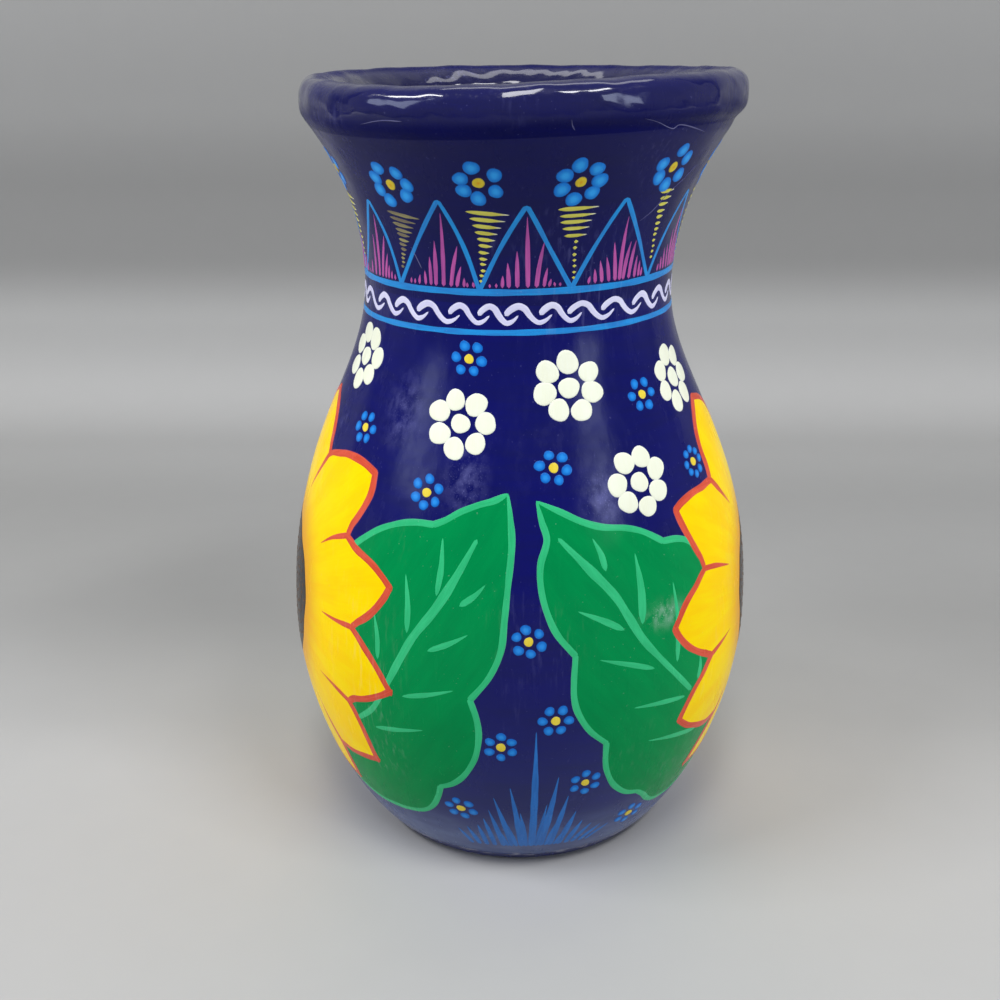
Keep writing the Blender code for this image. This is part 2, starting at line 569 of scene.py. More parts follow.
class Effects:
    """Surface effects that several finishes share, each a node group that is built once."""

    def __init__(self) -> None:
        """Build the groups."""
        self.streaks = self.brush_streaks()
        self.thin = self.thin_edge()
        self.varnish = self.gloss_varnish()
        self.dust = self.dust_and_scuffs()
        self.rubbed = self.rubbed_place()

    @staticmethod
    def group(
        name: str, vectors: Sequence[str], values: Sequence[str], gives: Sequence[str]
    ) -> tuple[Board, Sockets, Sockets]:
        """Start a node group.

        Args:
            name: Name of the group.
            vectors: Names of its vector inputs.
            values: Names of its number inputs.
            gives: Names of its outputs, which are numbers.

        Returns:
            A board on the group, and its input and output sockets by name.
        """
        tree = bpy.data.node_groups.new(name, "ShaderNodeTree")
        sides = (("INPUT", "Vector", vectors), ("INPUT", "Float", values), ("OUTPUT", "Float", gives))
        for way, kind, labels in sides:
            for label in labels:
                tree.interface.new_socket(name=label, in_out=way, socket_type=f"NodeSocket{kind}")
        board = Board(tree)
        start = board.add("NodeGroupInput")
        end = board.add("NodeGroupOutput")
        return board, start.outputs, end.inputs

    def brush_streaks(self) -> NodeTree:
        """Streaks that a loaded brush leaves along its stroke, and broad patches where it runs dry.

        Returns:
            The group.
        """
        board, takes, gives = self.group("Brush streaks", ["Brush"], ["Fineness"], ["Streak", "Patch"])
        scaled = board.add("ShaderNodeVectorMath", operation="SCALE")
        board.join(takes["Brush"], scaled.inputs[0])
        board.join(takes["Fineness"], scaled.inputs["Scale"])
        fine = board.noise(scaled.outputs[0], (2.6, 0.14, 1), 4)
        broad = board.noise(scaled.outputs[0], (0.35, 0.09, 1), 2)
        board.join(board.between(fine, 0.34, 0.68), gives["Streak"])
        board.join(board.between(broad, 0.35, 0.65), gives["Patch"])
        return board.tree

    def thin_edge(self) -> NodeTree:
        """Ragged rim of a film, where the paint is so thin that the ground shows through.

        Returns:
            The group.
        """
        board, takes, gives = self.group("Thin edge", ["Place"], ["Edge", "Width"], ["Thin"])
        ragged = board.noise(takes["Place"], (900, 900, 900), 2)
        shifted = board.plus(takes["Edge"], board.times(ragged, 0.35))
        start = board.math("SUBTRACT", 1.17, takes["Width"])
        board.join(board.between(shifted, start, 1.2), gives["Thin"])
        return board.tree

    def gloss_varnish(self) -> NodeTree:
        """Hand-brushed gloss varnish: uneven gloss, faint brush ridges, slow waves and grit.

        Returns:
            The group.
        """
        board, takes, gives = self.group(
            "Gloss varnish", ["Place"], ["Roughness", "Unevenness"], ["Roughness", "Height"]
        )
        ridges = board.noise(takes["Place"], (520, 520, 40), 3)
        waves = board.noise(takes["Place"], (55, 55, 70), 2)
        grit = board.noise(takes["Place"], (1500, 1500, 1500), 2)
        dull = board.between(board.noise(takes["Place"], (140, 140, 60), 4), 0.45, 0.75)
        dragged = board.between(board.noise(takes["Place"], (420, 420, 14), 3), 0.40, 0.70)
        lost = board.plus(board.times(dull, 0.6), board.times(dragged, 0.4))
        spread = board.times(lost, takes["Unevenness"])
        board.join(board.plus(takes["Roughness"], spread), gives["Roughness"])
        height = board.plus(board.times(ridges, 0.12), board.times(waves, 1.0))
        board.join(board.plus(height, board.times(grit, 0.05)), gives["Height"])
        return board.tree

    def dust_and_scuffs(self) -> NodeTree:
        """Pale specks of dust and upright scuffs from handling and storage.

        Returns:
            The group.
        """
        board, takes, gives = self.group("Dust and scuffs", ["Place"], ["Dust", "Scuffs"], ["Pale"])
        specks = board.between(board.noise(takes["Place"], (1300, 1300, 1300), 1), 0.735, 0.80)
        where = board.between(board.noise(takes["Place"], (26, 26, 17), 2), 0.52, 0.72)
        rubbed = board.between(board.noise(takes["Place"], (700, 700, 120), 5), 0.50, 0.80)
        scuff = board.times(board.times(where, rubbed), takes["Scuffs"])
        dust = board.times(specks, takes["Dust"])
        board.join(board.plus(scuff, dust, clamp=True), gives["Pale"])
        return board.tree

    def rubbed_place(self) -> NodeTree:
        """Powdery wear round one place: a soft cloud and fine specks, drawn out up or across the wall.

        Returns:
            The group.
        """
        board, takes, gives = self.group(
            "Rubbed place", ["Place", "Centre"], ["Reach", "Flatness"], ["Share"]
        )
        gap = board.add("ShaderNodeVectorMath", operation="SUBTRACT")
        board.join(takes["Place"], gap.inputs[0])
        board.join(takes["Centre"], gap.inputs[1])
        axes = board.axes(gap.outputs[0])
        flat = board.add("ShaderNodeCombineXYZ")
        board.join(axes["X"], flat.inputs["X"])
        board.join(axes["Y"], flat.inputs["Y"])
        board.join(board.times(axes["Z"], takes["Flatness"]), flat.inputs["Z"])
        size = board.add("ShaderNodeVectorMath", operation="LENGTH")
        board.join(flat.outputs[0], size.inputs[0])
        near = board.between(size.outputs["Value"], takes["Reach"], 0.0)
        cloud = board.between(board.noise(takes["Place"], (340, 340, 220), 8), 0.36, 0.74)
        specks = board.between(board.noise(takes["Place"], (2400, 2400, 2400), 1), 0.62, 0.72)
        powder = board.plus(board.times(cloud, 0.6), board.times(specks, 0.5))
        board.join(board.times(board.times(near, near), powder, clamp=True), gives["Share"])
        return board.tree


@dataclass(frozen=True)
class Paint:
    """One brushed colour under the varnish. Its colours are as they show on a screen."""

    name: str
    slot: str
    body: Colour
    shade: Colour
    rim: Colour
    streak: float = 0.5
    patch: float = 0.3
    rim_width: float = 0.35
    rim_strength: float = 0.6
    fineness: float = 1.0
    roughness: float = 0.18
    reflection: float = 0.14
    heart: Optional[Colour] = None
    heart_reach: Spot = (24.0, 42.0)
    heart_strength: float = 0.85
    tip: Optional[Colour] = None
    tip_from: Spot = (0.15, 0.85)
    rubbed: Optional[Point] = None
    rubbed_strength: float = 0.75
    powder: Colour = (190, 214, 206)
    dust: Colour = (214, 220, 226)
    unevenness: float = 0.20

    def material(self, effects: Effects) -> Material:
        """Build the finish.

        Args:
            effects: Shared node groups.

        Returns:
            A material for films of this paint.
        """
        material, board, shader, place = start_material(self.name)
        brush = board.attribute("brush", "Vector")
        edge = board.attribute("edge")
        share = board.attribute("share")
        strokes = board.use(effects.streaks, Brush=brush, Fineness=self.fineness)
        streaked = board.times(strokes["Streak"], self.streak)
        patched = board.times(strokes["Patch"], self.patch)
        colour = board.mix(board.plus(streaked, patched, clamp=True), srgb(self.body), srgb(self.shade))
        if self.heart:
            near = board.between(board.axes(brush)["Y"], self.heart_reach[1], self.heart_reach[0])
            colour = board.mix(board.times(near, self.heart_strength), colour, srgb(self.heart))
        if self.tip:
            colour = board.mix(board.between(share, *self.tip_from), colour, srgb(self.tip))
        thin = board.use(effects.thin, Edge=edge, Place=place, Width=self.rim_width)["Thin"]
        colour = board.mix(board.times(thin, self.rim_strength), colour, srgb(self.rim))
        if self.rubbed:
            worn = board.use(effects.rubbed, Place=place, Centre=self.rubbed, Reach=0.014, Flatness=1.7)
            colour = board.mix(board.times(worn["Share"], self.rubbed_strength), colour, srgb(self.powder))
        pale = board.use(effects.dust, Place=place, Dust=0.10, Scuffs=0.10)["Pale"]
        board.join(board.mix(pale, colour, srgb(self.dust)), shader.inputs["Base Color"])
        varnish_over(board, shader, effects, place, self.roughness, self.unevenness)
        shader.inputs["Specular IOR Level"].default_value = self.reflection
        return material


def start_material(name: str) -> tuple[Material, Board, Node, Socket]:
    """Start a node material.

    Args:
        name: Name of the finish.

    Returns:
        The material, a board on its nodes, its shader and the coordinates of a place on the piece.
    """
    material = bpy.data.materials.new(name)
    material.use_nodes = True
    board = Board(material.node_tree)
    shader = material.node_tree.nodes["Principled BSDF"]
    place = board.add("ShaderNodeTexCoord").outputs["Object"]
    return material, board, shader, place


def varnish_over(
    board: Board, shader: Node, effects: Effects, place: Socket, roughness: float, unevenness: float,
    dull: Optional[Socket] = None, relief: Optional[Socket] = None,
) -> None:
    """Lay the gloss varnish over a finish.

    Args:
        board: Board of the material.
        shader: Its shader.
        effects: Shared node groups.
        place: Coordinates on the piece.
        roughness: Roughness where the varnish is even.
        unevenness: How much rougher the dull places are.
        dull: Roughness that bare clay adds.
        relief: Height of the ground's own grain and dimples.
    """
    varnish = board.use(effects.varnish, Place=place, Roughness=roughness, Unevenness=unevenness)
    rough, height = varnish["Roughness"], varnish["Height"]
    if dull is not None:
        rough = board.plus(rough, dull, clamp=True)
    if relief is not None:
        height = board.plus(height, relief)
    board.join(rough, shader.inputs["Roughness"])
    bump = board.add("ShaderNodeBump")
    bump.inputs["Strength"].default_value = 0.35
    bump.inputs["Distance"].default_value = 0.6 * MM
    board.join(height, bump.inputs["Height"])
    board.join(bump.outputs["Normal"], shader.inputs["Normal"])


@dataclass(frozen=True)
class CobaltClay:
    """Cobalt ground brushed over the clay, ragged where it stops. Its colours are as on a screen."""

    name: str = "cobalt_ground"
    slot: str = "painted_clay"
    body: Colour = (4, 8, 96)
    shade: Colour = (7, 12, 83)
    # Painted shade: darker cobalt inside the mouth, the throat and the vase, where little light reaches.
    inner: Colour = (6, 8, 62)
    # Partly thinned pale paint at the foot, partly painted reflection of the floor.
    sheen_and_wash_blue: Colour = (98, 114, 156)
    chipped: Colour = (150, 150, 165)
    worn: Colour = (120, 122, 185)
    clay: Colour = (176, 104, 70)
    clay_shade: Colour = (146, 82, 56)
    bare_roughness: float = 0.85
    paint_roughness: float = 0.17
    unevenness: float = 0.22
    dimples: float = 0.0
    reflection: float = 0.22
    glaze: float = 0.0
    rubbed: tuple[Point, ...] = ()

    def material(self, effects: Effects) -> Material:
        """Build the finish.

        Args:
            effects: Shared node groups.

        Returns:
            A material for the clay sections.
        """
        material, board, shader, place = start_material(self.name)
        bare, inside, dented = [board.attribute(label) for label in ("bare", "inside", "dented")]
        streaks = board.between(board.noise(place, (45, 45, 420), 4), 0.35, 0.70)
        clouds = board.between(board.noise(place, (30, 30, 45), 3), 0.35, 0.70)
        turned = board.plus(board.times(streaks, 0.45), board.times(clouds, 0.55), clamp=True)
        cobalt = board.mix(turned, srgb(self.body), srgb(self.shade))
        # Painted shade: the cobalt darkens inside the vase by the inside share.
        cobalt = board.mix(inside, cobalt, srgb(self.inner))
        wash_and_sheen, chips = self.foot_wear(board, place)
        cobalt = board.mix(wash_and_sheen, cobalt, srgb(self.sheen_and_wash_blue))
        pale = board.use(effects.dust, Place=place, Dust=0.20, Scuffs=0.25)["Pale"]
        cobalt = board.mix(pale, cobalt, srgb(self.worn))
        for centre in self.rubbed:
            powder = board.use(effects.rubbed, Place=place, Centre=centre, Reach=0.013, Flatness=0.5)
            cobalt = board.mix(board.times(powder["Share"], 0.6), cobalt, srgb(self.worn))
        cobalt = board.mix(chips, cobalt, srgb(self.chipped))
        grain = board.noise(place, (420, 420, 420), 5)
        fired = board.mix(board.between(grain, 0.3, 0.7), srgb(self.clay), srgb(self.clay_shade))
        ragged = board.noise(place, (160, 160, 160), 4)
        stop = board.between(board.plus(bare, board.times(ragged, 0.5)), 0.70, 0.82)
        board.join(board.mix(stop, cobalt, fired), shader.inputs["Base Color"])
        dull = board.times(stop, self.bare_roughness)
        gritty = board.times(board.times(grain, stop), 0.8)
        dimples = board.times(board.noise(place, (260, 260, 300), 3), self.dimples)
        relief = board.plus(gritty, board.times(dimples, dented))
        varnish_over(board, shader, effects, place, self.paint_roughness, self.unevenness, dull, relief)
        shader.inputs["Specular IOR Level"].default_value = self.reflection
        if self.glaze:
            board.join(board.times(dented, self.glaze), shader.inputs["Coat Weight"])
            shader.inputs["Coat Roughness"].default_value = 0.08
        return material

    @staticmethod
    def foot_wear(board: Board, place: Socket) -> tuple[Socket, Socket]:
        """Pale paint, painted floor reflection and chips round the foot.

        Args:
            board: Board of the material.
            place: Coordinates on the piece.

        Returns:
            Share of thinned pale paint under the grass, partly painted floor sheen, plus a painted floor
            reflection fading up the lower belly; and the share of chipped paint below it.
        """
        height = board.axes(place)["Z"]
        cloud = board.between(board.noise(place, (70, 70, 220), 4), 0.30, 0.70)
        band = board.times(board.between(height, 0.0035, 0.0065), board.between(height, 0.0330, 0.0080))
        wash_and_sheen = board.times(band, board.plus(board.times(cloud, 0.40), 0.45))
        # Painted reflection of the floor: a faint pale haze that grows towards the bottom.
        wash_and_sheen = board.plus(wash_and_sheen, board.times(board.between(height, 0.085, 0.030), 0.09), clamp=True)
        edge = board.times(board.between(height, 0.0030, 0.0042), board.between(height, 0.0066, 0.0052))
        specks = board.between(board.noise(place, (260, 260, 700), 4), 0.50, 0.60)
        return wash_and_sheen, board.times(board.times(edge, specks), 0.7)


COBALT_GROUND = CobaltClay(
    rubbed=((-0.0350, -0.0456, 0.1558), (-0.0168, -0.0627, 0.1392), (0.0235, -0.0629, 0.1335)),
)
# Painted shade: the neck and the lip take darker copies of the ground's cobalt, for the flare that faces down
# and the lip, which catch less light. The lip's copy also has its own gloss and dimples.
SHADED_COBALT_NECK = CobaltClay("cobalt_neck_painted_shade", body=(6, 9, 84), shade=(9, 13, 74), reflection=0.18)
SHADED_COBALT_LIP = CobaltClay(
    "cobalt_lip_painted_shade", body=(4, 7, 80), shade=(6, 10, 70), paint_roughness=0.25, unevenness=0.08,
    dimples=2.0, reflection=0.07, glaze=0.95,
)


@dataclass
class ClaySections:
    """The five luted sections of the clay, each in place of its solid.

    Dents and glaze come in over the heights of roll, and from the crown out over crown and in over slope. The
    throat and the inside are painted darker, as painted shade, over the reach of throat.
    """

    built: HandBuilt
    columns: int = 264
    outer_step: float = 1.7 * MM
    inner_step: float = 3.4 * MM
    lip_step: float = 1.0 * MM
    cove: float = 5.0 * MM
    floor_drop: float = 0.6 * MM
    painted_down_to: float = 0.188
    ragged_band: float = 0.022
    bare_under: Spot = (0.014, 0.034)
    throat: Spot = (2.0 * MM, 7.0 * MM)
    slope: Spot = (2.0 * MM, 4.4 * MM)
    crown: Spot = (0.0, 3.0 * MM)
    roll: Spot = (0.2385, 0.2445)

    def __post_init__(self) -> None:
        """Take the two sides of the wall from the vase as it was built."""
        self.wall = self.built.wall
        self.outer = self.wall.outside()
        self.inner = self.wall.inside()

    @staticmethod
    def cut(line: Array, low: float, high: float, step: float) -> Array:
        """Take the stretch of a rising line between two heights.

        Args:
            line: The line.
            low: Height where the stretch starts.
            high: Height where it ends.
            step: About how far apart its points are.

        Returns:
            Array of points in even steps.
        """
        ends = [np.array([[np.interp(z, line[:, 1], line[:, 0]), z]]) for z in (low, high)]
        inside = line[(line[:, 1] > low) & (line[:, 1] < high)]
        return even_steps(np.vstack([ends[0], inside, ends[1]]), step)

    def ring(self, low: float, high: float) -> list[Array]:
        """Runs of one ring of wall: down the outside, then up the inside."""
        down = self.cut(self.outer, low, high, self.outer_step)[::-1]
        return [down, self.cut(self.inner, low, high, self.inner_step)]

    def slab(self) -> list[Array]:
        """Draw the base.

        Returns:
            Two runs: the floor inside and its cove, then the outside, the foot and the underside.
        """
        wall = self.wall
        top = wall.slab_thickness
        inner = float(np.interp(top, self.inner[:, 1], self.inner[:, 0]))
        floor_end = (inner - self.cove, top - self.floor_drop)
        floor = np.array([(radius, floor_end[1]) for radius in np.linspace(0.001, floor_end[0], 14)])
        cove = curves((floor_end, (inner - self.cove / 3, floor_end[1]), (inner, top), (inner, top)), 4)
        half_turn = (math.pi / 2 - wall.foot_lean) / 2
        reach = wall.foot_round * math.tan(half_turn)
        turn = np.linspace(0, 2 * half_turn, 7)
        round_out = wall.base_radius - reach + wall.foot_round * np.sin(turn)
        foot = np.c_[round_out, wall.foot_round * (1 - np.cos(turn))]
        edge = self.cut(self.outer, float(foot[-1, 1]) + 0.2 * MM, top, self.outer_step)
        under = np.array([(radius, 0.0) for radius in np.linspace(foot[0, 0] - MM, 0.001, 14)])
        return [np.vstack([floor, cove[1:]]), np.vstack([edge[::-1], foot[::-1], under])]

    def turn(self, name: str, runs: list[Array], closed: bool) -> Mesh:
        """Spin runs of outline into one closed mesh.

        Args:
            name: Name of the mesh.
            runs: Stretches of outline; where two meet there is a corner.
            closed: True for a ring, False for a disc whose ends meet the axis.

        Returns:
            The mesh, with its normals and marks.
        """
        line = np.vstack(runs)
        tangent = unit(np.vstack([np.gradient(run, axis=0) for run in runs]))
        angle = np.linspace(0, 2 * math.pi, self.columns, endpoint=False)[None, :]
        place = self.built.place
        tiny = 0.05 * MM
        tiny_turn = tiny / 0.06
        points = place(angle, line[:, :1], line[:, 1:])
        after, before = line + tiny * tangent, line - tiny * tangent
        down = place(angle, after[:, :1], after[:, 1:]) - place(angle, before[:, :1], before[:, 1:])
        across = place(angle + tiny_turn, line[:, :1], line[:, 1:])
        across = across - place(angle - tiny_turn, line[:, :1], line[:, 1:])
        normals = unit(np.cross(down, across))

        rows, columns = points.shape[:2]
        index = np.arange(rows * columns).reshape(rows, columns)
        here = index if closed else index[:-1]
        below = np.roll(index, -1, axis=0) if closed else index[1:]
        faces = np.stack([here, below, np.roll(below, -1, axis=1), np.roll(here, -1, axis=1)], axis=-1)
        faces = faces.reshape(-1, 4).tolist()
        vertices = points.reshape(-1, 3)
        normals = normals.reshape(-1, 3)
        if not closed:
            poles = [points[0].mean(axis=0), points[-1].mean(axis=0)]
            vertices = np.vstack([vertices, poles])
            normals = np.vstack([normals, [(0.0, 0.0, 1.0), (0.0, 0.0, -1.0)]])
            first, last = index[0], index[-1]
            pole = rows * columns
            faces += [[pole, first[i], first[(i + 1) % columns]] for i in range(columns)]
            faces += [[pole + 1, last[(i + 1) % columns], last[i]] for i in range(columns)]
        mesh = bpy.data.meshes.new(name)
        mesh.from_pydata(vertices.tolist(), [], faces)
        mesh.shade_smooth()
        mesh.normals_split_custom_set_from_vertices(normals.tolist())
        self.mark(mesh, runs, closed)
        return mesh

    def mark(self, mesh: Mesh, runs: list[Array], closed: bool) -> None:
        """Write which places are inside, how dented the roll is and how bare the clay is.

        Args:
            mesh: Mesh of one section.
            runs: The runs of outline that it was turned from.
            closed: True for a ring, False for the base.
        """
        bare, inside, dented = [], [], []
        for number, run in enumerate(runs):
            radius, height = run[:, 0], run[:, 1]
            depth = np.full(len(run), float(closed == (number == 1)))
            roll = np.zeros(len(run))
            if len(runs) == 1:
                outward = radius - self.wall.lip_crown_radius
                depth = smooth_step(*self.throat, -outward)
                sides = smooth_step(*self.crown, outward) + smooth_step(*self.slope, -outward)
                roll = sides * smooth_step(*self.roll, height)
            if closed and number == 0:
                share = np.zeros(len(run))
            elif closed:
                share = 1 - smooth_step(self.painted_down_to, self.painted_down_to + self.ragged_band, height)
            elif number == 0:
                share = np.ones(len(run))
            else:
                share = (height <= 0.0) * smooth_step(*self.bare_under, self.wall.base_radius - radius)
            for shares, value in ((bare, share), (inside, depth), (dented, roll)):
                shares.append(np.repeat(value, self.columns))
        poles = [] if closed else [np.ones(2)]
        for label, shares in (("bare", bare), ("inside", inside), ("dented", dented)):
            write_values(mesh, label, shares + poles)

    def build(self, effects: Effects) -> None:
        """Make the five sections.

        Args:
            effects: Shared node groups.
        """
        wall = self.wall
        ground = COBALT_GROUND.material(effects)
        finishes = {"neck_collar": SHADED_COBALT_NECK.material(effects), "rolled_lip": SHADED_COBALT_LIP.material(effects)}
        outlines = {
            "base_slab": self.slab(),
            "lower_bowl": self.ring(wall.slab_thickness, wall.belly_height),
            "shoulder_wall": self.ring(wall.belly_height, wall.waist_height),
            "neck_collar": self.ring(wall.waist_height, wall.collar_top),
            "rolled_lip": [even_steps(wall.lip(), self.lip_step)[::-1]],
        }
        for node, runs in outlines.items():
            base = node == "base_slab"
            mesh = self.turn(node, runs, closed=not base)
            piece = link(f"{node}_clay", mesh, finishes.get(node, ground))
            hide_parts(node)


class Taper(Enum):
    """How a stroke's width runs: shares of its length from start to end, and the share of its width there."""

    EVEN = ((0.0, 1.0), (1.0, 1.0))
    BLADE = ((0.0, 0.4, 0.7, 1.0), (0.86, 1.0, 0.74, 0.10))
    SWELL = ((0.0, 0.15, 0.3, 0.5, 1.0), (0.12, 0.5, 0.85, 1.0, 1.0))
    RIB = ((0.0, 0.2, 0.45, 0.75, 1.0), (0.45, 1.0, 1.0, 0.75, 0.65))
    POINT = ((0.0, 0.08, 0.16, 1.0), (0.30, 0.80, 1.0, 1.0))
    LENS = ((0.0, 0.3, 0.6, 0.85, 1.0), (0.15, 0.65, 0.95, 0.85, 0.30))
    BRUSH = ((0.0, 0.12, 0.45, 0.8, 1.0), (0.80, 1.0, 1.0, 0.75, 0.25))
    DRAG = ((0.0, 0.15, 0.3, 0.6, 0.78, 1.0), (0.25, 0.85, 1.0, 0.95, 0.55, 0.16))

    def shares(self, along: Array) -> Array:
        """Width at each share of the length, as a share of the full width."""
        return np.interp(along, *self.value)


@dataclass
class PaintLayer:
    """Films of one colour, gathered into one mesh.

    The seed fixes the small differences between strokes. The relief is how much of the films' own roundness
    shows, from 0 to 1. The whole design is turned by turn_deg.
    """

    name: str
    built: HandBuilt
    effects: Effects
    seed: int
    relief: float
    sink_mm: float = 0.05
    turn_deg: float = -0.65
    dot_sides: int = 22
    films: list[tuple[Array, ...]] = field(default_factory=list)
    faces: list[list[int]] = field(default_factory=list)
    count: int = 0

    ACROSS = np.array((-1.0, -0.78, 0.0, 0.78, 1.0))
    CROWN = np.array((0.0, 0.82, 1.0, 0.82, 0.0))
    THIN = (1.0, 0.55, 0.0, 0.55, 1.0)

    def __post_init__(self) -> None:
        """Start the layer's own row of chances."""
        self.chance = np.random.default_rng(self.seed)

    def keep(
        self, spots: Array, lift: Array, faces: list[list[int]], brush: Array, edge: Array, share: Array,
    ) -> None:
        """Add one film to the layer.

        Args:
            spots: Its points as places on the wall.
            lift: Millimetres off the wall.
            faces: Its faces, as indices of points.
            brush: Millimetres across and along the brush's way.
            edge: 1 at the rim, 0 where it is thick.
            share: 0 to 1 from a stroke's start to its end, or from a dot's rim to its middle.
        """
        around = spots[:, 0] + self.turn_deg
        points = self.built.spot(around, spots[:, 1], lift)
        facing = self.built.facing(around, spots[:, 1])
        self.faces += [[corner + self.count for corner in face] for face in faces]
        own = np.full((len(points), 1), 50.0 * self.chance.random())
        self.films.append((points, facing, np.hstack([brush, own]), edge, share))
        self.count += len(points)

    def dot(self, centre: Spot, radius_mm: float, thickness_mm: float, base_mm: float = 0.0) -> None:
        """Press one dot of paint on the wall with the end of a stick.

        Args:
            centre: Its place on the wall.
            radius_mm: Its radius.
            thickness_mm: Its height in the middle.
            base_mm: Height of the paint that it sits on.
        """
        sides = self.dot_sides
        turn = np.linspace(0, 2 * math.pi, sides, endpoint=False)
        phase = self.chance.random(3) * 2 * math.pi
        outline = 1 + 0.05 * np.sin(2 * turn + phase[0]) + 0.03 * np.sin(3 * turn + phase[1])
        outline = outline + 0.012 * np.sin(5 * turn + phase[2])
        rings = np.array((1.0, 0.90, 0.72, 0.40))
        heights = np.array((-self.sink_mm, 0.62 * thickness_mm, 0.92 * thickness_mm, thickness_mm))
        heights[1:] += base_mm
        size = radius_mm * self.chance.uniform(0.95, 1.06)
        across = np.append(rings[:, None] * outline * np.cos(turn) * size, 0.0)
        along = np.append(rings[:, None] * outline * np.sin(turn) * size, 0.0)
        lift = np.append(np.repeat(heights, sides), thickness_mm + base_mm)
        up = centre[1] + along
        around = centre[0] + np.degrees(across / self.built.radius_mm(up))
        index = np.arange(len(rings) * sides).reshape(-1, sides)
        after = np.roll(index, -1, axis=1)
        faces = np.stack([index[:-1], after[:-1], after[1:], index[1:]], axis=-1).reshape(-1, 4).tolist()
        faces += [[i, j, index.size] for i, j in zip(index[-1].tolist(), after[-1].tolist())]
        faces.append(index[0].tolist()[::-1])
        edge = np.append(np.repeat((1.0, 0.75, 0.4, 0.1), sides), 0.0)
        share = np.append(np.repeat(1 - rings, sides), 1.0)
        spots = np.c_[around, up]
        self.keep(spots, lift, faces, np.c_[across, along], edge, share)

    def stroke(
        self, path: Sequence[Spot], width_mm: float, thickness_mm: float, base_mm: float = 0.0,
        taper: Taper = Taper.EVEN, smooth: bool = True, shift: float = 0.0, step_mm: float = 0.8,
        overrun_mm: Spot = (0.0, 0.0), shift_from: float = 0.0,
    ) -> None:
        """Draw one brush stroke on the wall.

        Args:
            path: Places that the brush passes.
            width_mm: Its full width.
            thickness_mm: Its height.
            base_mm: Height of the paint under it.
            taper: How the width runs.
            smooth: Curve through the places; if False the path is smooth.
            shift: Share of the width that it lies to the left of its path.
            step_mm: Distance between its ribs.
            overrun_mm: How far it starts before the path and runs on past it.
            shift_from: Share of the length up to which it keeps to the path.
        """
        line = through(path) if smooth else np.array(path, dtype=float)
        middle = float(np.mean(self.built.radius_mm(line[:, 1]))) * math.pi / 180
        line = line * (middle, 1.0)
        before, beyond = unit(line[0] - line[1]), unit(line[-1] - line[-2])
        line = np.vstack([line[:1] + overrun_mm[0] * before, line, line[-1:] + overrun_mm[1] * beyond])
        line = even_steps(line, step_mm) / (middle, 1.0)
        radius = self.built.radius_mm(line[:, 1]) * math.pi / 180
        move = np.gradient(line, axis=0) * np.c_[radius, np.ones_like(radius)]
        length = np.maximum(norm(move, axis=1), 1e-6)
        left = np.c_[-move[:, 1], move[:, 0]] / length[:, None]
        along = np.append(0.0, np.cumsum((length[1:] + length[:-1]) / 2))
        total = along[-1]
        share = along / total
        wobble = self.chance.random(2) * 2 * math.pi
        hand = 1 + 0.06 * np.sin(along / 4.3 + wobble[0]) + 0.04 * np.sin(along / 1.7 + wobble[1])
        width = width_mm * taper.shares(share) * hand
        caps = []
        for gap, half in ((along, width[0] / 2), (total - along, width[-1] / 2)):
            caps.append(np.sqrt(np.clip(1 - (1 - gap / half).clip(0, 1) ** 2, 0.004, 1)))
        width = width * np.minimum(*caps)
        moved = shift * width_mm * smooth_step(shift_from, shift_from + 0.2, share)
        offset = self.ACROSS[None, :] * width[:, None] / 2 + moved[:, None]
        around = line[:, :1] + offset * left[:, :1] / radius[:, None]
        up = line[:, 1:] + offset * left[:, 1:]
        body = np.minimum(1.0, 0.35 + 0.65 * width / width_mm)
        lift = -self.sink_mm + (base_mm + thickness_mm * body + self.sink_mm)[:, None] * self.CROWN[None, :]
        rows, columns = around.shape
        index = np.arange(rows * columns).reshape(rows, columns).tolist()
        faces = []
        for here, after in zip(index, index[1:]):
            faces += [[after[j], after[j + 1], here[j + 1], here[j]] for j in range(columns - 1)]
            faces.append([here[-1], after[-1], after[0], here[0]])
        faces += [index[0], index[-1][::-1]]
        brush = np.c_[offset.ravel(), np.repeat(along, columns)]
        spots = np.c_[around.ravel(), up.ravel()]
        self.keep(spots, lift.ravel(), faces, brush, np.tile(self.THIN, rows), np.repeat(share, columns))

    def patch(
        self, outline: Array, thickness_mm: float, brush_way: Callable[[Array], Array],
        to_spot: Callable[[Array], Array], rim_mm: float = 0.55, grid_mm: float = 2.4,
    ) -> None:
        """Fill an outline with paint.

        Args:
            outline: Closed outline on a flat sheet, in mm.
            thickness_mm: Height of the film.
            brush_way: Gives millimetres across and along the brush's way on the sheet.
            to_spot: Gives places on the wall for points on the sheet.
            rim_mm: Width of the rounded rim.
            grid_mm: Distance between points inside.
        """
        outline = outline if self.area(outline) > 0 else outline[::-1]
        move = unit(np.roll(outline, -1, axis=0) - np.roll(outline, 1, axis=0))
        inset = outline + rim_mm * np.c_[-move[:, 1], move[:, 0]]
        low, high = outline.min(axis=0), outline.max(axis=0)
        staggered = []
        for number, row in enumerate(np.arange(low[1], high[1], grid_mm * 0.87)):
            columns = np.arange(low[0] + (number % 2) * grid_mm / 2, high[0], grid_mm)
            staggered.append(np.c_[columns, np.full_like(columns, row)])
        grid = np.vstack(staggered)
        inset = inset[(self.distance(inset, outline) > 0.9 * rim_mm) & self.inside(inset, outline)]
        grid = grid[(self.distance(grid, outline) > rim_mm + 0.45 * grid_mm) & self.inside(grid, outline)]
        flat = np.vstack([outline, inset, grid])
        spread = [Vector(point) for point in flat.tolist()]
        corners, _, faces, origin, _, _ = delaunay_2d_cdt(spread, [], [range(len(outline))], 1, 1e-5)
        sheet = np.array([tuple(corner) for corner in corners])
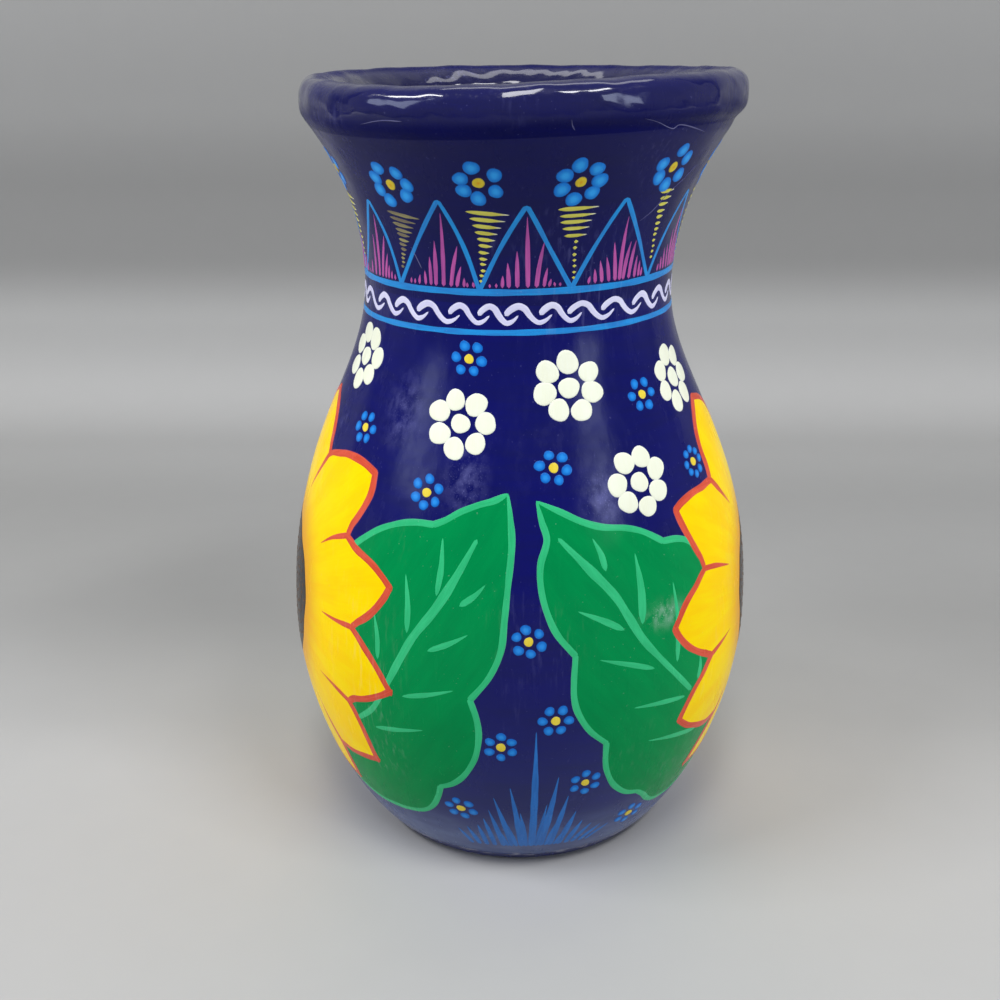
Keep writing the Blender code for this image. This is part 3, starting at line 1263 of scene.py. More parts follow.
        on_rim = np.array([any(source < len(outline) for source in sources) for sources in origin])
        depth = np.where(on_rim, 0.0, np.minimum(self.distance(sheet, outline) / rim_mm, 1.0))
        spots = to_spot(sheet)
        top = -self.sink_mm + (thickness_mm + self.sink_mm) * np.sqrt(depth)
        hidden = ~on_rim
        below = np.where(on_rim, np.arange(len(sheet)), len(sheet) - 1 + np.cumsum(hidden))
        solid = [list(face) for face in faces]
        solid += [[int(below[corner]) for corner in face][::-1] for face in faces]
        if self.area(to_spot(outline)) < 0:
            solid = [face[::-1] for face in solid]
        under = np.full(int(hidden.sum()), -2 * self.sink_mm)
        brush = brush_way(sheet)
        spots = np.vstack([spots, spots[hidden]])
        brush = np.vstack([brush, brush[hidden]])
        edge = np.concatenate([1 - depth, 0 * under])
        self.keep(spots, np.concatenate([top, under]), solid, brush, edge, np.zeros(len(spots)))

    @staticmethod
    def area(outline: Array) -> float:
        """Area of a closed outline, negative if it runs clockwise."""
        after = np.roll(outline, -1, axis=0)
        return float(np.sum(outline[:, 0] * after[:, 1] - after[:, 0] * outline[:, 1])) / 2

    @staticmethod
    def distance(points: Array, outline: Array) -> Array:
        """Measure how far points are from a closed outline.

        Args:
            points: The points.
            outline: The outline.

        Returns:
            Distance of each point.
        """
        start, end = outline, np.roll(outline, -1, axis=0)
        way = end - start
        size = np.maximum((way**2).sum(axis=1), 1e-12)
        nearest = np.full(len(points), np.inf)
        for first in range(0, len(points), 400):
            some = points[first : first + 400, None, :]
            t = np.clip(((some - start) * way).sum(axis=2) / size, 0, 1)
            gaps = norm(some - start - t[:, :, None] * way, axis=2)
            nearest[first : first + 400] = gaps.min(axis=1)
        return nearest

    @staticmethod
    def inside(points: Array, outline: Array) -> Array:
        """Find the points inside a closed outline.

        Args:
            points: The points.
            outline: The outline.

        Returns:
            True for each point inside.
        """
        x0, y0 = outline[:, 0], outline[:, 1]
        x1, y1 = np.roll(x0, -1), np.roll(y0, -1)
        px, py = points[:, :1], points[:, 1:]
        rising = np.where(np.abs(y1 - y0) < 1e-12, 1e-12, y1 - y0)
        crosses = ((y0 > py) != (y1 > py)) & (px < x0 + (x1 - x0) * (py - y0) / rising)
        return crosses.sum(axis=1) % 2 == 1

    def build(self, paint: Paint) -> None:
        """Turn the layer into a piece.

        Args:
            paint: Its colour.
        """
        points, facing, brush, edge, share = zip(*self.films)
        mesh = bpy.data.meshes.new(self.name)
        mesh.from_pydata(np.vstack(points).tolist(), [], self.faces)
        mesh.shade_smooth()
        own = np.empty(3 * len(mesh.vertices), dtype=np.float32)
        mesh.vertices.foreach_get("normal", own)
        blended = unit(self.relief * own.reshape(-1, 3) + (1 - self.relief) * np.vstack(facing))
        mesh.normals_split_custom_set_from_vertices(blended.tolist())
        attribute = mesh.attributes.new("brush", "FLOAT_VECTOR", "POINT")
        attribute.data.foreach_set("vector", np.vstack(brush).astype(np.float32).ravel())
        write_values(mesh, "edge", edge)
        write_values(mesh, "share", share)
        link(self.name, mesh, paint.material(self.effects))


LEAF_GREEN = Paint(
    "leaf_green", "green_paint", (0, 141, 74), (0, 127, 68), (8, 92, 66),
    0.20, 0.35, 0.30, 0.4, 0.6, reflection=0.05, rubbed=(0.0430, -0.0628, 0.0972),
)
VEIN_GREEN = Paint(
    "vein_green", "green_paint", (54, 194, 128), (40, 176, 112), (118, 156, 154),
    0.45, 0.4, 0.48, 0.8,
)
PETAL_YELLOW = Paint(
    "petal_yellow", "yellow_paint", (255, 221, 0), (255, 202, 4), (240, 170, 60),
    0.15, 0.50, 0.2, 0.4, 0.6, reflection=0.04, heart=(226, 152, 34),
)
PETAL_RED = Paint(
    "petal_red", "red_paint", (220, 88, 66), (202, 72, 46), (158, 96, 120),
    0.55, 0.5, 0.40, 0.55,
)
SEED_BROWN = Paint(
    "seed_brown", "red_paint", (40, 32, 30), (28, 22, 24), (60, 38, 24),
    0.6, 0.6, 0.3, 0.5,
)
SEED_OCHRE = Paint(
    "seed_ochre", "yellow_paint", (112, 74, 34), (92, 58, 28), (70, 46, 28),
    0.4, 0.4, 0.4, 0.5,
)
DOT_WHITE = Paint(
    "dot_white", "white_paint", (240, 244, 224), (236, 239, 212), (196, 200, 226),
    0.35, 0.3, 0.25, 0.5,
)
DOT_BLUE = Paint(
    "dot_blue", "blue_paint", (22, 114, 204), (18, 102, 192), (14, 62, 148),
    0.4, 0.4, 0.45, 0.75, tip=(40, 142, 226),
)
NECK_BLUE = Paint(
    "neck_blue", "blue_paint", (26, 132, 224), (20, 116, 210), (14, 66, 156),
    0.4, 0.4, 0.45, 0.75, tip=(52, 168, 244),
)
DOT_YELLOW = Paint(
    "dot_yellow", "yellow_paint", (236, 214, 76), (226, 198, 52), (140, 132, 66),
    0.4, 0.4, 0.40, 0.6,
)
CORE_YELLOW = Paint(
    "core_yellow", "yellow_paint", (226, 202, 58), (216, 188, 46), (110, 112, 70),
    0.4, 0.4, 0.50, 0.7, tip=(228, 165, 32), tip_from=(0.55, 1.0),
)
LINE_BLUE = Paint(
    "line_blue", "blue_paint", (34, 148, 222), (42, 124, 200), (40, 84, 160),
    0.55, 0.5, 0.40, 0.6,
)
HATCH_YELLOW = Paint(
    "hatch_yellow", "yellow_paint", (218, 214, 96), (198, 190, 78), (66, 64, 30),
    0.5, 0.4, 0.40, 0.7, tip=(226, 226, 200), tip_from=(0.72, 1.0),
)
DRY_YELLOW = Paint(
    "dry_yellow", "yellow_paint", (160, 154, 100), (118, 108, 90), (48, 46, 56),
    0.8, 0.6, 0.5, 0.8,
)
BLADE_PINK = Paint(
    "blade_pink", "pink_paint", (194, 90, 168), (164, 76, 150), (100, 50, 128),
    0.6, 0.5, 0.45, 0.7,
)
SCROLL_WHITE = Paint(
    "scroll_white", "white_paint", (226, 226, 248), (208, 206, 242), (120, 116, 190),
    0.5, 0.4, 0.35, 0.6,
)
# Pale scratch marks, and painted highlights along the folds under the lip.
SCRATCH_AND_GLINT_PALE = Paint(
    "scratch_and_fold_highlight_pale", "painted_clay", (112, 112, 152), (84, 84, 132), (44, 44, 104),
    0.8, 0.5, 0.4, 0.7,
)
GRASS_BLUE = Paint(
    "grass_blue", "blue_paint", (44, 122, 206), (38, 104, 182), (36, 64, 140),
    0.5, 0.5, 0.45, 0.7,
)


@dataclass(frozen=True)
class Leaf:
    """One large leaf: its tip, the lobes of its two edges, its midrib and its side veins."""

    upper_lobes: tuple[tuple[Spot, ...], ...]
    lower_lobes: tuple[tuple[Spot, ...], ...]
    midrib: tuple[Spot, ...]
    veins: tuple[tuple[Spot, Spot, float], ...]

    @staticmethod
    def edge(lobes: Sequence[Sequence[Spot]]) -> Array:
        """One whole edge of the leaf from its tip, lobe after lobe."""
        parts = [through(lobe, 8)[:-1] for lobe in lobes]
        return np.vstack(parts + [np.array(lobes[-1][-1:])])


LEFT_LEAF = Leaf(
    upper_lobes=(
        ((-2.9, 145.1), (-6.2, 143), (-10, 141.5), (-14.5, 139), (-18, 136.2), (-21, 134.4)),
        ((-21, 134.4), (-25.5, 134.2), (-30, 133), (-35, 130.4), (-39, 127.2), (-44, 122), (-50, 114)),
    ),
    lower_lobes=(
        (
            (-2.9, 145.1), (-2.2, 138), (-1.8, 130), (-2.5, 119), (-3.2, 108.6), (-4, 98.4), (-6.6, 89.8),
            (-10.8, 82.1),
        ),
        ((-10.8, 82.1), (-9.4, 75.4), (-9.1, 68.6), (-10.2, 60.5), (-13, 53), (-16.4, 48), (-20.2, 45.2)),
        (
            (-20.2, 45.2), (-21.4, 40.5), (-23.6, 35), (-26.8, 30.8), (-31, 28.4), (-38, 26.6), (-48, 26),
            (-58, 30), (-62, 40),
        ),
    ),
    midrib=(
        (-9.9, 131.6), (-14.6, 119.6), (-19, 109.6), (-24.2, 99.8), (-28, 90.4), (-31.8, 80.6),
        (-36.2, 71.2), (-42, 64.5),
    ),
    veins=(
        ((-18.3, 131), (-18.9, 113.6), 2.5), ((-26.9, 118.6), (-25.8, 100.6), 2.4),
        ((-34.8, 104), (-33.7, 89.5), 2.3), ((-7.6, 118.4), (-13.4, 111.4), 2.3),
        ((-11.2, 103), (-20.6, 96.2), 2.2), ((-14.5, 84.6), (-27.1, 79.3), 2.2),
        ((-22.4, 68.4), (-36.4, 63.8), 2.2),
    ),
)
RIGHT_LEAF = Leaf(
    upper_lobes=(
        ((4.2, 143), (10, 139.6), (15, 136.4), (20, 134.2), (26, 132.9), (31, 130.6), (36.4, 126.4)),
        ((36.4, 126.4), (40.8, 125.8), (44.5, 124), (48, 120), (54, 112)),
    ),
    lower_lobes=(
        (
            (4.2, 143), (5.3, 137.2), (6.4, 131.6), (4.9, 125), (4.8, 118.5), (6, 111), (8.4, 103.5),
            (12.5, 96.4),
        ),
        ((12.5, 96.4), (12.2, 88), (12.4, 82), (13.6, 76.6), (16.5, 70.1), (20.9, 64.3)),
        ((20.9, 64.3), (21.4, 56.8), (22.6, 51.2), (25.2, 45), (29.6, 39.6), (34.6, 37)),
        ((34.6, 37), (37.6, 33.8), (41, 29.4), (46, 26.4), (54, 26), (60, 30), (64, 40)),
    ),
    midrib=((9, 132.2), (15, 123.9), (21.6, 114), (25, 106.6), (28.9, 97.9), (35, 88.3), (44.4, 74.8)),
    veins=(
        ((17.2, 131.4), (20, 121.2), 2.3), ((27.8, 125), (28.7, 103), 3.4),
        ((38, 113.4), (38.8, 87.2), 2.7), ((46.9, 86), (46.5, 77.5), 2.3),
        ((13, 110.2), (24, 102.4), 2.5), ((18, 94.2), (32, 87.6), 2.2), ((27, 75.6), (42.4, 73.4), 2.4),
        ((32.6, 60.8), (50.5, 56.2), 2.3),
    ),
)


@dataclass(frozen=True)
class Petal:
    """One petal that shows at the front.

    Both edges run from a notch to the tip, which the upper one gives. The inner line goes on from the upper
    notch towards the disc.
    """

    upper: tuple[Spot, ...]
    lower: tuple[Spot, ...]
    inner: tuple[Spot, ...]


@dataclass(frozen=True)
class Sunflower:
    """One sunflower at the side of the vase.

    The petals at the front are drawn as they are seen, from the top one down. The hidden ones go on round
    the disc and are given by the way and the reach of their tips.
    """

    centre: Spot
    forward: float
    seen: tuple[Petal, ...]
    hidden: tuple[Spot, ...]
    notch_mm: float = 56.0
    inner_mm: float = 40.0
    bulge: float = 0.11
    disc_mm: float = 25.5
    seed: int = 3

    def to_sheet(self, spots: Sequence[Spot], built: HandBuilt) -> Array:
        """Lay places on the wall out flat.

        Args:
            spots: The places.
            built: The wall.

        Returns:
            Millimetres from the flower's centre, the first axis towards the front.
        """
        places = np.array(spots, dtype=float)
        forward = self.forward * np.radians(places[:, 0] - self.centre[0]) * built.radius_mm(places[:, 1])
        return np.c_[forward, places[:, 1] - self.centre[1]]

    def to_spot(self, sheet: Array, built: HandBuilt) -> Array:
        """Put points of the flat sheet on the wall.

        Args:
            sheet: Millimetres from the flower's centre.
            built: The wall.

        Returns:
            Places on the wall.
        """
        up = self.centre[1] + sheet[:, 1]
        around = self.centre[0] + self.forward * np.degrees(sheet[:, 0] / built.radius_mm(up))
        return np.c_[around, up]

    def bowed(self, notch: Array, tip: Array, outward: float) -> Array:
        """Edge of a hidden petal.

        Args:
            notch: Where the edge starts.
            tip: Where it ends.
            outward: 1 if the edge bows to the left of its way, -1 if to the right.

        Returns:
            Points along the edge.
        """
        way = tip - notch
        left = np.array((-way[1], way[0])) * outward
        first = notch + 0.32 * way + 0.92 * self.bulge * left
        second = notch + 0.70 * way + 0.80 * self.bulge * left
        return through((notch, first, second, tip), 6)

    def petals(self, built: HandBuilt) -> list[tuple[Array, Array, Array]]:
        """Edges of all the petals on a flat sheet, clockwise from the top one.

        Args:
            built: The wall that the seen petals were read on.

        Returns:
            For each petal its upper edge and its lower edge from notch to tip, and its inner line.
        """
        petals = []
        for petal in self.seen:
            edges = (petal.upper, petal.lower + petal.upper[-1:], petal.upper[:1] + petal.inner)
            petals.append(tuple(through(self.to_sheet(spots, built), 6) for spots in edges))
        chance = np.random.default_rng(self.seed)

        def towards(degrees: float, reach: float) -> Array:
            """Point on the sheet by its way and its reach from the centre."""
            return np.array((math.cos(math.radians(degrees)), math.sin(math.radians(degrees)))) * reach

        notch = petals[-1][1][0]
        last_notch = petals[0][0][0]
        for number, (way, reach) in enumerate(self.hidden):
            tip = towards(way, reach)
            next_notch = last_notch
            if number + 1 < len(self.hidden):
                gap = (way - self.hidden[number + 1][0]) % 360
                next_notch = towards(way - gap / 2, self.notch_mm + chance.uniform(-1.5, 1.5))
            turn = math.degrees(math.atan2(notch[1], notch[0]))
            inner_end = towards(turn + chance.uniform(1.0, 4.0), self.inner_mm + chance.uniform(-2.0, 2.0))
            inner = np.linspace(notch, inner_end, 6)
            petals.append((self.bowed(notch, tip, 1.0), self.bowed(next_notch, tip, -1.0), inner))
            notch = next_notch
        return petals


LEFT_PETALS = (
    Petal(
        ((-93, 143), (-92, 151), (-87.5, 160), (-80.5, 164.5)),
        ((-66, 143.8), (-67.8, 151.2), (-72.5, 158.7)), ((-91, 136), (-88.5, 129)),
    ),
    Petal(
        ((-66, 143.8), (-62.8, 146), (-56.8, 148.3), (-51, 148.7), (-45.8, 148), (-40.7, 146.1)),
        ((-47, 124.2), (-43.6, 130.2), (-41.3, 135.8), (-40.4, 140.3)),
        ((-70.5, 135.8), (-74, 129.4)),
    ),
    Petal(
        ((-47, 124.2), (-42.5, 122.4), (-36.8, 119.9), (-32.8, 116.7), (-30, 113.5)),
        ((-42.2, 96.8), (-38.6, 99.2), (-35, 103.3), (-31.8, 108.8)),
        ((-52.8, 121.3), (-58, 117.4)),
    ),
    Petal(
        ((-42.2, 96.8), (-37.6, 92.9), (-33.4, 87), (-30.6, 81.7), (-29.5, 79.3)),
        ((-45, 69.6), (-38.6, 72.3), (-33.3, 75.9)), ((-48.5, 96.4), (-54.5, 96.3)),
    ),
    Petal(
        ((-45, 69.6), (-41.6, 63.8), (-39.8, 57), (-38.1, 48)),
        ((-56, 46.4), (-51.2, 44.8), (-43.3, 46.4)), ((-51, 72.2), (-57, 74)),
    ),
)
LEFT_SUNFLOWER = Sunflower(
    centre=(-84, 93),
    forward=1,
    seen=LEFT_PETALS,
    hidden=(
        (-62, 72), (-88.5, 71), (-115, 72), (-141.5, 74), (-168, 73), (165.5, 73), (139, 75), (113, 73),
    ),
)
RIGHT_PETALS = (
    Petal(
        ((91, 146), (86, 155), (78, 161.5), (68.7, 164.4)),
        ((60.8, 137.8), (59.8, 145.8), (60.2, 151.7), (62, 156.5), (65.2, 160.9)),
        ((91.5, 138), (91, 130)),
    ),
    Petal(
        ((60.8, 137.8), (57, 138.3), (50.7, 138.2), (44.9, 136.7), (41.4, 134.7)),
        ((50, 113.2), (47.1, 118.5), (44.1, 125.7), (42.2, 131.2)),
        ((65.2, 132.4), (71, 125.6)),
    ),
    Petal(
        ((50, 113.2), (46.4, 110.9), (41.2, 105.9), (37, 98.5)),
        ((52, 83.6), (48, 84.8), (42.7, 89.1), (38.9, 94.2)), ((55.2, 111.9), (62.8, 108.8)),
    ),
    Petal(
        ((52, 83.6), (47.6, 78.6), (44.4, 73.6), (42, 67.8), (41, 64.1)),
        ((62.5, 55.5), (56, 54.2), (47.4, 58.2), (44.1, 60.7)), ((56.2, 85.2), (61.8, 87.2)),
    ),
)
RIGHT_SUNFLOWER = Sunflower(
    centre=(89, 93),
    forward=-1,
    seen=RIGHT_PETALS,
    hidden=(
        (-53, 70), (-80, 71), (-107, 72), (-133, 73), (-160, 73), (174, 74), (148, 75), (122, 74),
        (98, 73),
    ),
    seed=8,
)

BladeFan = tuple[tuple[float, float, float], ...]
FANS: tuple[BladeFan, ...] = (
    (
        (-11.7, -10.9, 4.8), (-8.2, -5.2, 13.6), (-5, 0, 19.5), (-2.5, 2.8, 13.6), (-0.2, 2.8, 7.7),
        (1.8, 3, 4.5), (3.8, 4.3, 2.7), (5.8, 6, 1.8),
    ),
    (
        (-15.5, -15.2, 1.8), (-13.8, -13.5, 1.6), (-11.8, -11.2, 3), (-9, -9, 4.5), (-6.8, -6.5, 8.6),
        (-4.8, -3.8, 14.1), (-1.8, 0, 22), (1, 4.2, 12.9), (3.2, 5, 6.4), (5.8, 6, 3), (7, 7, 1.6),
        (9.3, 9, 1.8),
    ),
    (
        (-11.6, -11.6, 1.3), (-9.4, -9.4, 1.5), (-7.4, -7.2, 3.6), (-5.2, -5.6, 7.5), (-2.4, -2.6, 11.4),
        (1.1, 0.3, 21.3), (3.9, 5.9, 13.6), (6.4, 7.4, 5.7), (8.1, 8.8, 2.5), (10.1, 9.8, 1.4),
        (11.8, 11.8, 1.3),
    ),
    (
        (-9.1, -8.6, 2.3), (-6.6, -7.1, 4.3), (-4.1, -5.4, 6.6), (-1.4, -3.1, 7.5), (1.1, -0.9, 11.4),
        (2.9, 2.6, 18.6), (4.4, 5.9, 11.1), (6.9, 8.1, 11.1), (9.6, 9.9, 6.4), (11.6, 11.6, 4.8),
        (12.9, 13.2, 2.7), (16.2, 15.6, 1.4),
    ),
)


@dataclass(frozen=True)
class Cone:
    """One hatched cone: the middles of its first and last strokes, and the first one's width and tilt."""

    first: Spot
    last: Spot
    width: float = 12.5
    tilt: float = -0.06


SEEN_CONES = (
    Cone((-39.1, 225.1), (-43.4, 208.5), 13.2, -0.12),
    Cone((-9.6, 227.0), (-12.6, 206.2), 13.2, -0.085),
    Cone((17.1, 228.0), (18.2, 207.3), 12.6, 0.02),
    Cone((49.2, 230.4), (50.2, 210.7), 6.8, 0.03),
)


@dataclass
class Painting:
    """Everything that is painted on the ground, from the lowest layer to the highest.

    Values that end in mm are the heights of films, and those that end in wide are widths of strokes in mm.
    """

    built: HandBuilt
    effects: Effects
    leaf_mm: float = 0.06
    vein_mm: float = 0.06
    petal_mm: float = 0.14
    outline_mm: float = 0.06
    disc_mm: float = 0.08
    white_dot_mm: float = 0.26
    small_dot_mm: float = 0.18
    line_mm: float = 0.09
    scroll_mm: float = 0.12
    scratch_and_highlight_mm: float = 0.03
    leaf_line_wide: float = 2.2
    midrib_wide: float = 3.2
    petal_line_wide: float = 2.7
    zigzag_wide: float = 1.5
    scroll_wide: float = 2.0
    scratch_and_highlight_wide: float = 0.35
    half_turn: float = 180.0
    teeth: int = 12
    scrolls: int = 31
    upper_line: float = 203.2
    lower_line: float = 191.6
    line_tilt: float = 1.2

    def layer(self, name: str, seed: int, relief: float = 0.2) -> PaintLayer:
        """Start a layer of paint."""
        return PaintLayer(name, self.built, self.effects, seed, relief)

    def leaves(self) -> None:
        """Two leaves at the front and two at the back, with light outlines and veins."""
        fills = self.layer("leaf_fills", 11)
        lines = self.layer("leaf_outlines_and_veins", 12)
        for turn in (0.0, self.half_turn):
            for leaf in (LEFT_LEAF, RIGHT_LEAF):
                self.leaf(leaf, turn, fills, lines)
        fills.build(LEAF_GREEN)
        lines.build(VEIN_GREEN)

    def leaf(self, leaf: Leaf, turn: float, fills: PaintLayer, lines: PaintLayer) -> None:
        """Paint one leaf. The brush follows its midrib.

        Args:
            leaf: Its shape.
            turn: Degrees that it is turned round the vase.
            fills: Layer for its body.
            lines: Layer for its outline and veins.
        """
        scale = self.built.wall.belly_radius / MM * math.pi / 180
        upper = [turned(lobe, turn) for lobe in leaf.upper_lobes]
        lower = [turned(lobe, turn) for lobe in leaf.lower_lobes]
        midrib = turned(leaf.midrib, turn)
        outline = np.vstack([leaf.edge(upper), leaf.edge(lower)[:0:-1]]) * (scale, 1.0)
        outline = even_steps(np.vstack([outline, outline[:1]]), 1.3)[:-1]
        rib = np.array(midrib) * (scale, 1.0)
        way = unit(rib[-1] - rib[0])
        across = np.array((-way[1], way[0]))
        fills.patch(
            outline, self.leaf_mm, lambda sheet: np.c_[sheet @ across, sheet @ way],
            lambda sheet: sheet / (scale, 1.0),
        )
        for lobe in upper + lower:
            taper, run = (Taper.POINT, 0.2) if lobe[0] == upper[0][0] else (Taper.EVEN, 0.7)
            lines.stroke(lobe, self.leaf_line_wide, self.vein_mm, self.leaf_mm, taper, overrun_mm=(run, 0.7))
        lines.stroke(midrib, self.midrib_wide, self.vein_mm, self.leaf_mm, Taper.RIB)
        for *ends, width in leaf.veins:
            start, end = turned(ends, turn)
            middle = ((start[0] + end[0]) / 2 + 0.5, (start[1] + end[1]) / 2)
            lines.stroke((start, middle, end), width, self.vein_mm, self.leaf_mm, Taper.LENS)

    def sunflowers(self) -> None:
        """A sunflower at each side: yellow petals, red outlines and a dark seed disc."""
        petals = self.layer("sunflower_petals", 21)
        outlines = self.layer("sunflower_outlines", 22)
        discs = self.layer("sunflower_discs", 23)
        seeds = self.layer("sunflower_seeds", 24, 0.5)
        for flower in (LEFT_SUNFLOWER, RIGHT_SUNFLOWER):
            self.sunflower(flower, petals, outlines)
            self.seed_disc(flower, discs, seeds)
        petals.build(PETAL_YELLOW)
        outlines.build(PETAL_RED)
        discs.build(SEED_BROWN)
        seeds.build(SEED_OCHRE)

    @staticmethod
    def from_middle(sheet: Array) -> Array:
        """The brush runs out from the middle of a flower: millimetres across and along its way."""
        reach = norm(sheet, axis=1)
        return np.c_[np.arctan2(sheet[:, 1], sheet[:, 0]) * 45.0, reach]

    def sunflower(self, flower: Sunflower, petals: PaintLayer, outlines: PaintLayer) -> None:
        """Paint the petals of one sunflower.

        Args:
            flower: Its shape.
            petals: Layer for the yellow.
            outlines: Layer for the red.
        """
        to_spot = partial(flower.to_spot, built=self.built)
        rim = []
        inward = 0.40 * flower.forward
        for upper, lower, inner in flower.petals(self.built):
            rim += [upper[:-1], lower[:0:-1]]
            lead = np.vstack([inner[:0:-1], upper])
            to_notch = norm(inner[-1] - inner[0])
            notch_share = float(to_notch / (to_notch + norm(upper[-1] - upper[0])))
            edges = ((lead, Taper.SWELL, -inward, notch_share), (lower, Taper.EVEN, inward, 0.0))
            for path, taper, way, start in edges:
                outlines.stroke(
                    to_spot(path), self.petal_line_wide, self.outline_mm, self.petal_mm, taper, False, way,
                    overrun_mm=(0.0, 0.5), shift_from=start,
                )
        petals.patch(even_steps(np.vstack(rim), 1.2), self.petal_mm, self.from_middle, to_spot)

    def seed_disc(self, flower: Sunflower, discs: PaintLayer, seeds: PaintLayer) -> None:
        """Paint the dark disc of one sunflower and stipple its seeds.

        Args:
            flower: Its shape.
            discs: Layer for the disc.
            seeds: Layer for the seeds.
        """
        to_spot = partial(flower.to_spot, built=self.built)
        turn = np.linspace(0, 2 * math.pi, 90, endpoint=False)
        edge = flower.disc_mm * (1 + 0.02 * np.sin(5 * turn) + 0.012 * np.sin(11 * turn + 1.0))
        disc = np.c_[edge * np.cos(turn), edge * np.sin(turn)]
        height = self.petal_mm + self.disc_mm
        discs.patch(disc, height, self.from_middle, to_spot)
        golden = math.pi * (3 - math.sqrt(5))
        count = 150
        for number in range(12, count):
            reach = flower.disc_mm * 0.93 * math.sqrt(number / count)
            place = np.array([(reach * math.cos(number * golden), reach * math.sin(number * golden))])
            seeds.dot(tuple(to_spot(place)[0]), 0.6, 0.06, height)

    def dot_flowers(self) -> None:
        """White flowers and small blue flowers, each a ring of dots round a middle dot."""
        white = self.layer("white_dot_flowers", 31, 0.55)
        blue = self.layer("small_blue_dots", 32, 0.4)
        yellow = self.layer("small_yellow_dots", 33, 0.4)
        white_places = (
            (-17.1, 164.5, 107), (15.4, 175.4, 87), (32.3, 145.3, 124), (59.1, 172.3, 101),
            (-64.3, 177.7, 58),
        )
        blue_places = (
            (-16.4, 183.5, 115, 6), (-51.1, 157.4, 65, 6), (-24.1, 143.3, 85, 6), (8.9, 152.5, 110, 6),
            (40.7, 170.5, 60, 6), (54.6, 145.9, 90, 8), (2.1, 101.6, 100, 6), (8.3, 75.2, 118, 6),
            (-4, 65.5, 90, 6), (16.9, 48.7, 92, 6), (-15.5, 36, 105, 6), (35.4, 24.6, 90, 6),
        )
        for turn in (0.0, self.half_turn):
            for around, up, start in white_places:
                ways = [start + turn + 360 * i / 7 for i in range(7)]
                self.ring(white, (around + turn, up), ways, 7.35, 3.35, self.white_dot_mm)
                white.dot((around + turn, up), 3.15, self.white_dot_mm)
            for around, up, start, count in blue_places:
                ways = [start + turn + 360 * i / count for i in range(count)]
                self.ring(blue, (around + turn, up), ways, 3.9, 1.58 * (6 / count) ** 0.5, self.small_dot_mm)
                yellow.dot((around + turn, up), 1.5, self.small_dot_mm)
        white.build(DOT_WHITE)
        blue.build(DOT_BLUE)
        yellow.build(DOT_YELLOW)

    def ring(
        self, layer: PaintLayer, centre: Spot, ways: Sequence[float], ring_mm: float, dot_mm: float,
        thickness_mm: float,
    ) -> None:
        """Set dots in a ring.

        Args:
            layer: Layer to paint on.
            centre: Middle of the ring.
            ways: Way from the middle to each dot, in degrees from the right.
            ring_mm: Radius of the ring.
            dot_mm: Radius of a dot.
            thickness_mm: Height of a dot.
        """
        for degrees in ways:
            way = math.radians(degrees + layer.chance.uniform(-3.0, 3.0))
            reach = ring_mm * layer.chance.uniform(0.97, 1.05)
            up = centre[1] + reach * math.sin(way)
            radius = float(self.built.radius_mm(up))
            around = centre[0] + math.degrees(reach * math.cos(way) / radius)
            layer.dot((around, up), dot_mm, thickness_mm)

    def grass(self) -> None:
        """Tufts of blue grass that fan up from the foot, front and back."""
        layer = self.layer("grass_blades", 41)
        blades = (
            (4.4, 4, 71.5, 2.7), (1.3, -2, 48.5, 2.3), (7.4, 9.9, 52.8, 2.5), (-1.8, -6.3, 43.5, 2),
            (10.3, 13, 43.6, 2.4), (-4.4, -7.9, 37, 2), (13.2, 16, 35, 2.4), (-7.2, -9.6, 32, 2),
            (15.7, 18.7, 29, 2.2), (-9.8, -11.6, 28, 1.9), (17.8, 22, 26, 2.1), (-12.2, -15, 26, 1.8),
            (20.2, 25.5, 24, 1.9), (-14.6, -18, 24, 1.7), (22.6, 28.6, 22.6, 1.7), (2.8, 0.6, 36, 1.7),
            (5.9, 7.6, 40, 1.7), (8.9, 11.8, 33, 1.6), (-0.3, -4.2, 33, 1.6), (-3, -6.6, 28, 1.5),
            (11.8, 15.2, 27, 1.6),
        )
        root = 14.2
        for turn in (0.0, self.half_turn):
            for base, tip, top, width in blades:
                middle = (0.62 * base + 0.38 * tip + turn, 0.55 * root + 0.45 * top)
                path = ((base + turn, root), middle, (tip + turn, top))
                layer.stroke(path, width, self.line_mm, 0.0, Taper.BLADE)
        layer.build(GRASS_BLUE)

    def line_up(self, height: float, around: float) -> float:
        """Millimetres up the wall of a hand-drawn ring, which climbs to the right."""
        return height + self.line_tilt * math.sin(math.radians(around))

    def neck(self) -> None:
        """The band round the neck: lines, scroll, zigzag with blades, hatched cones and dot flowers."""
        apexes = self.evened((-54.4, -24.6, 1.8, 32.5, 65.0), self.teeth)
        valleys = self.evened((-45.5, -13.4, 17.5, 49.5), self.teeth)
        lines = self.layer("neck_lines_and_zigzag", 51)
        rounds = ((self.upper_line, 2.15, -180.0), (self.lower_line, 1.85, -27.0))
        for height, width, start in rounds:
            full = np.linspace(start, start + 362.0, 120)
            path = [(around, self.line_up(height, around)) for around in full]
            lines.stroke(path, width, self.line_mm, smooth=False)
        tops = (228.6, 231.0, 229.3, 229.9)
        for number, apex in enumerate(apexes):
            top = tops[number] if number < len(tops) else 229.6 + lines.chance.uniform(-0.8, 0.8)
            self.zigzag(lines, (apex, top), (valleys[number - 1], valleys[number]))
        lines.build(LINE_BLUE)
        self.scroll()
        self.blades(apexes)
        self.cones(valleys)
        self.neck_flowers(valleys)

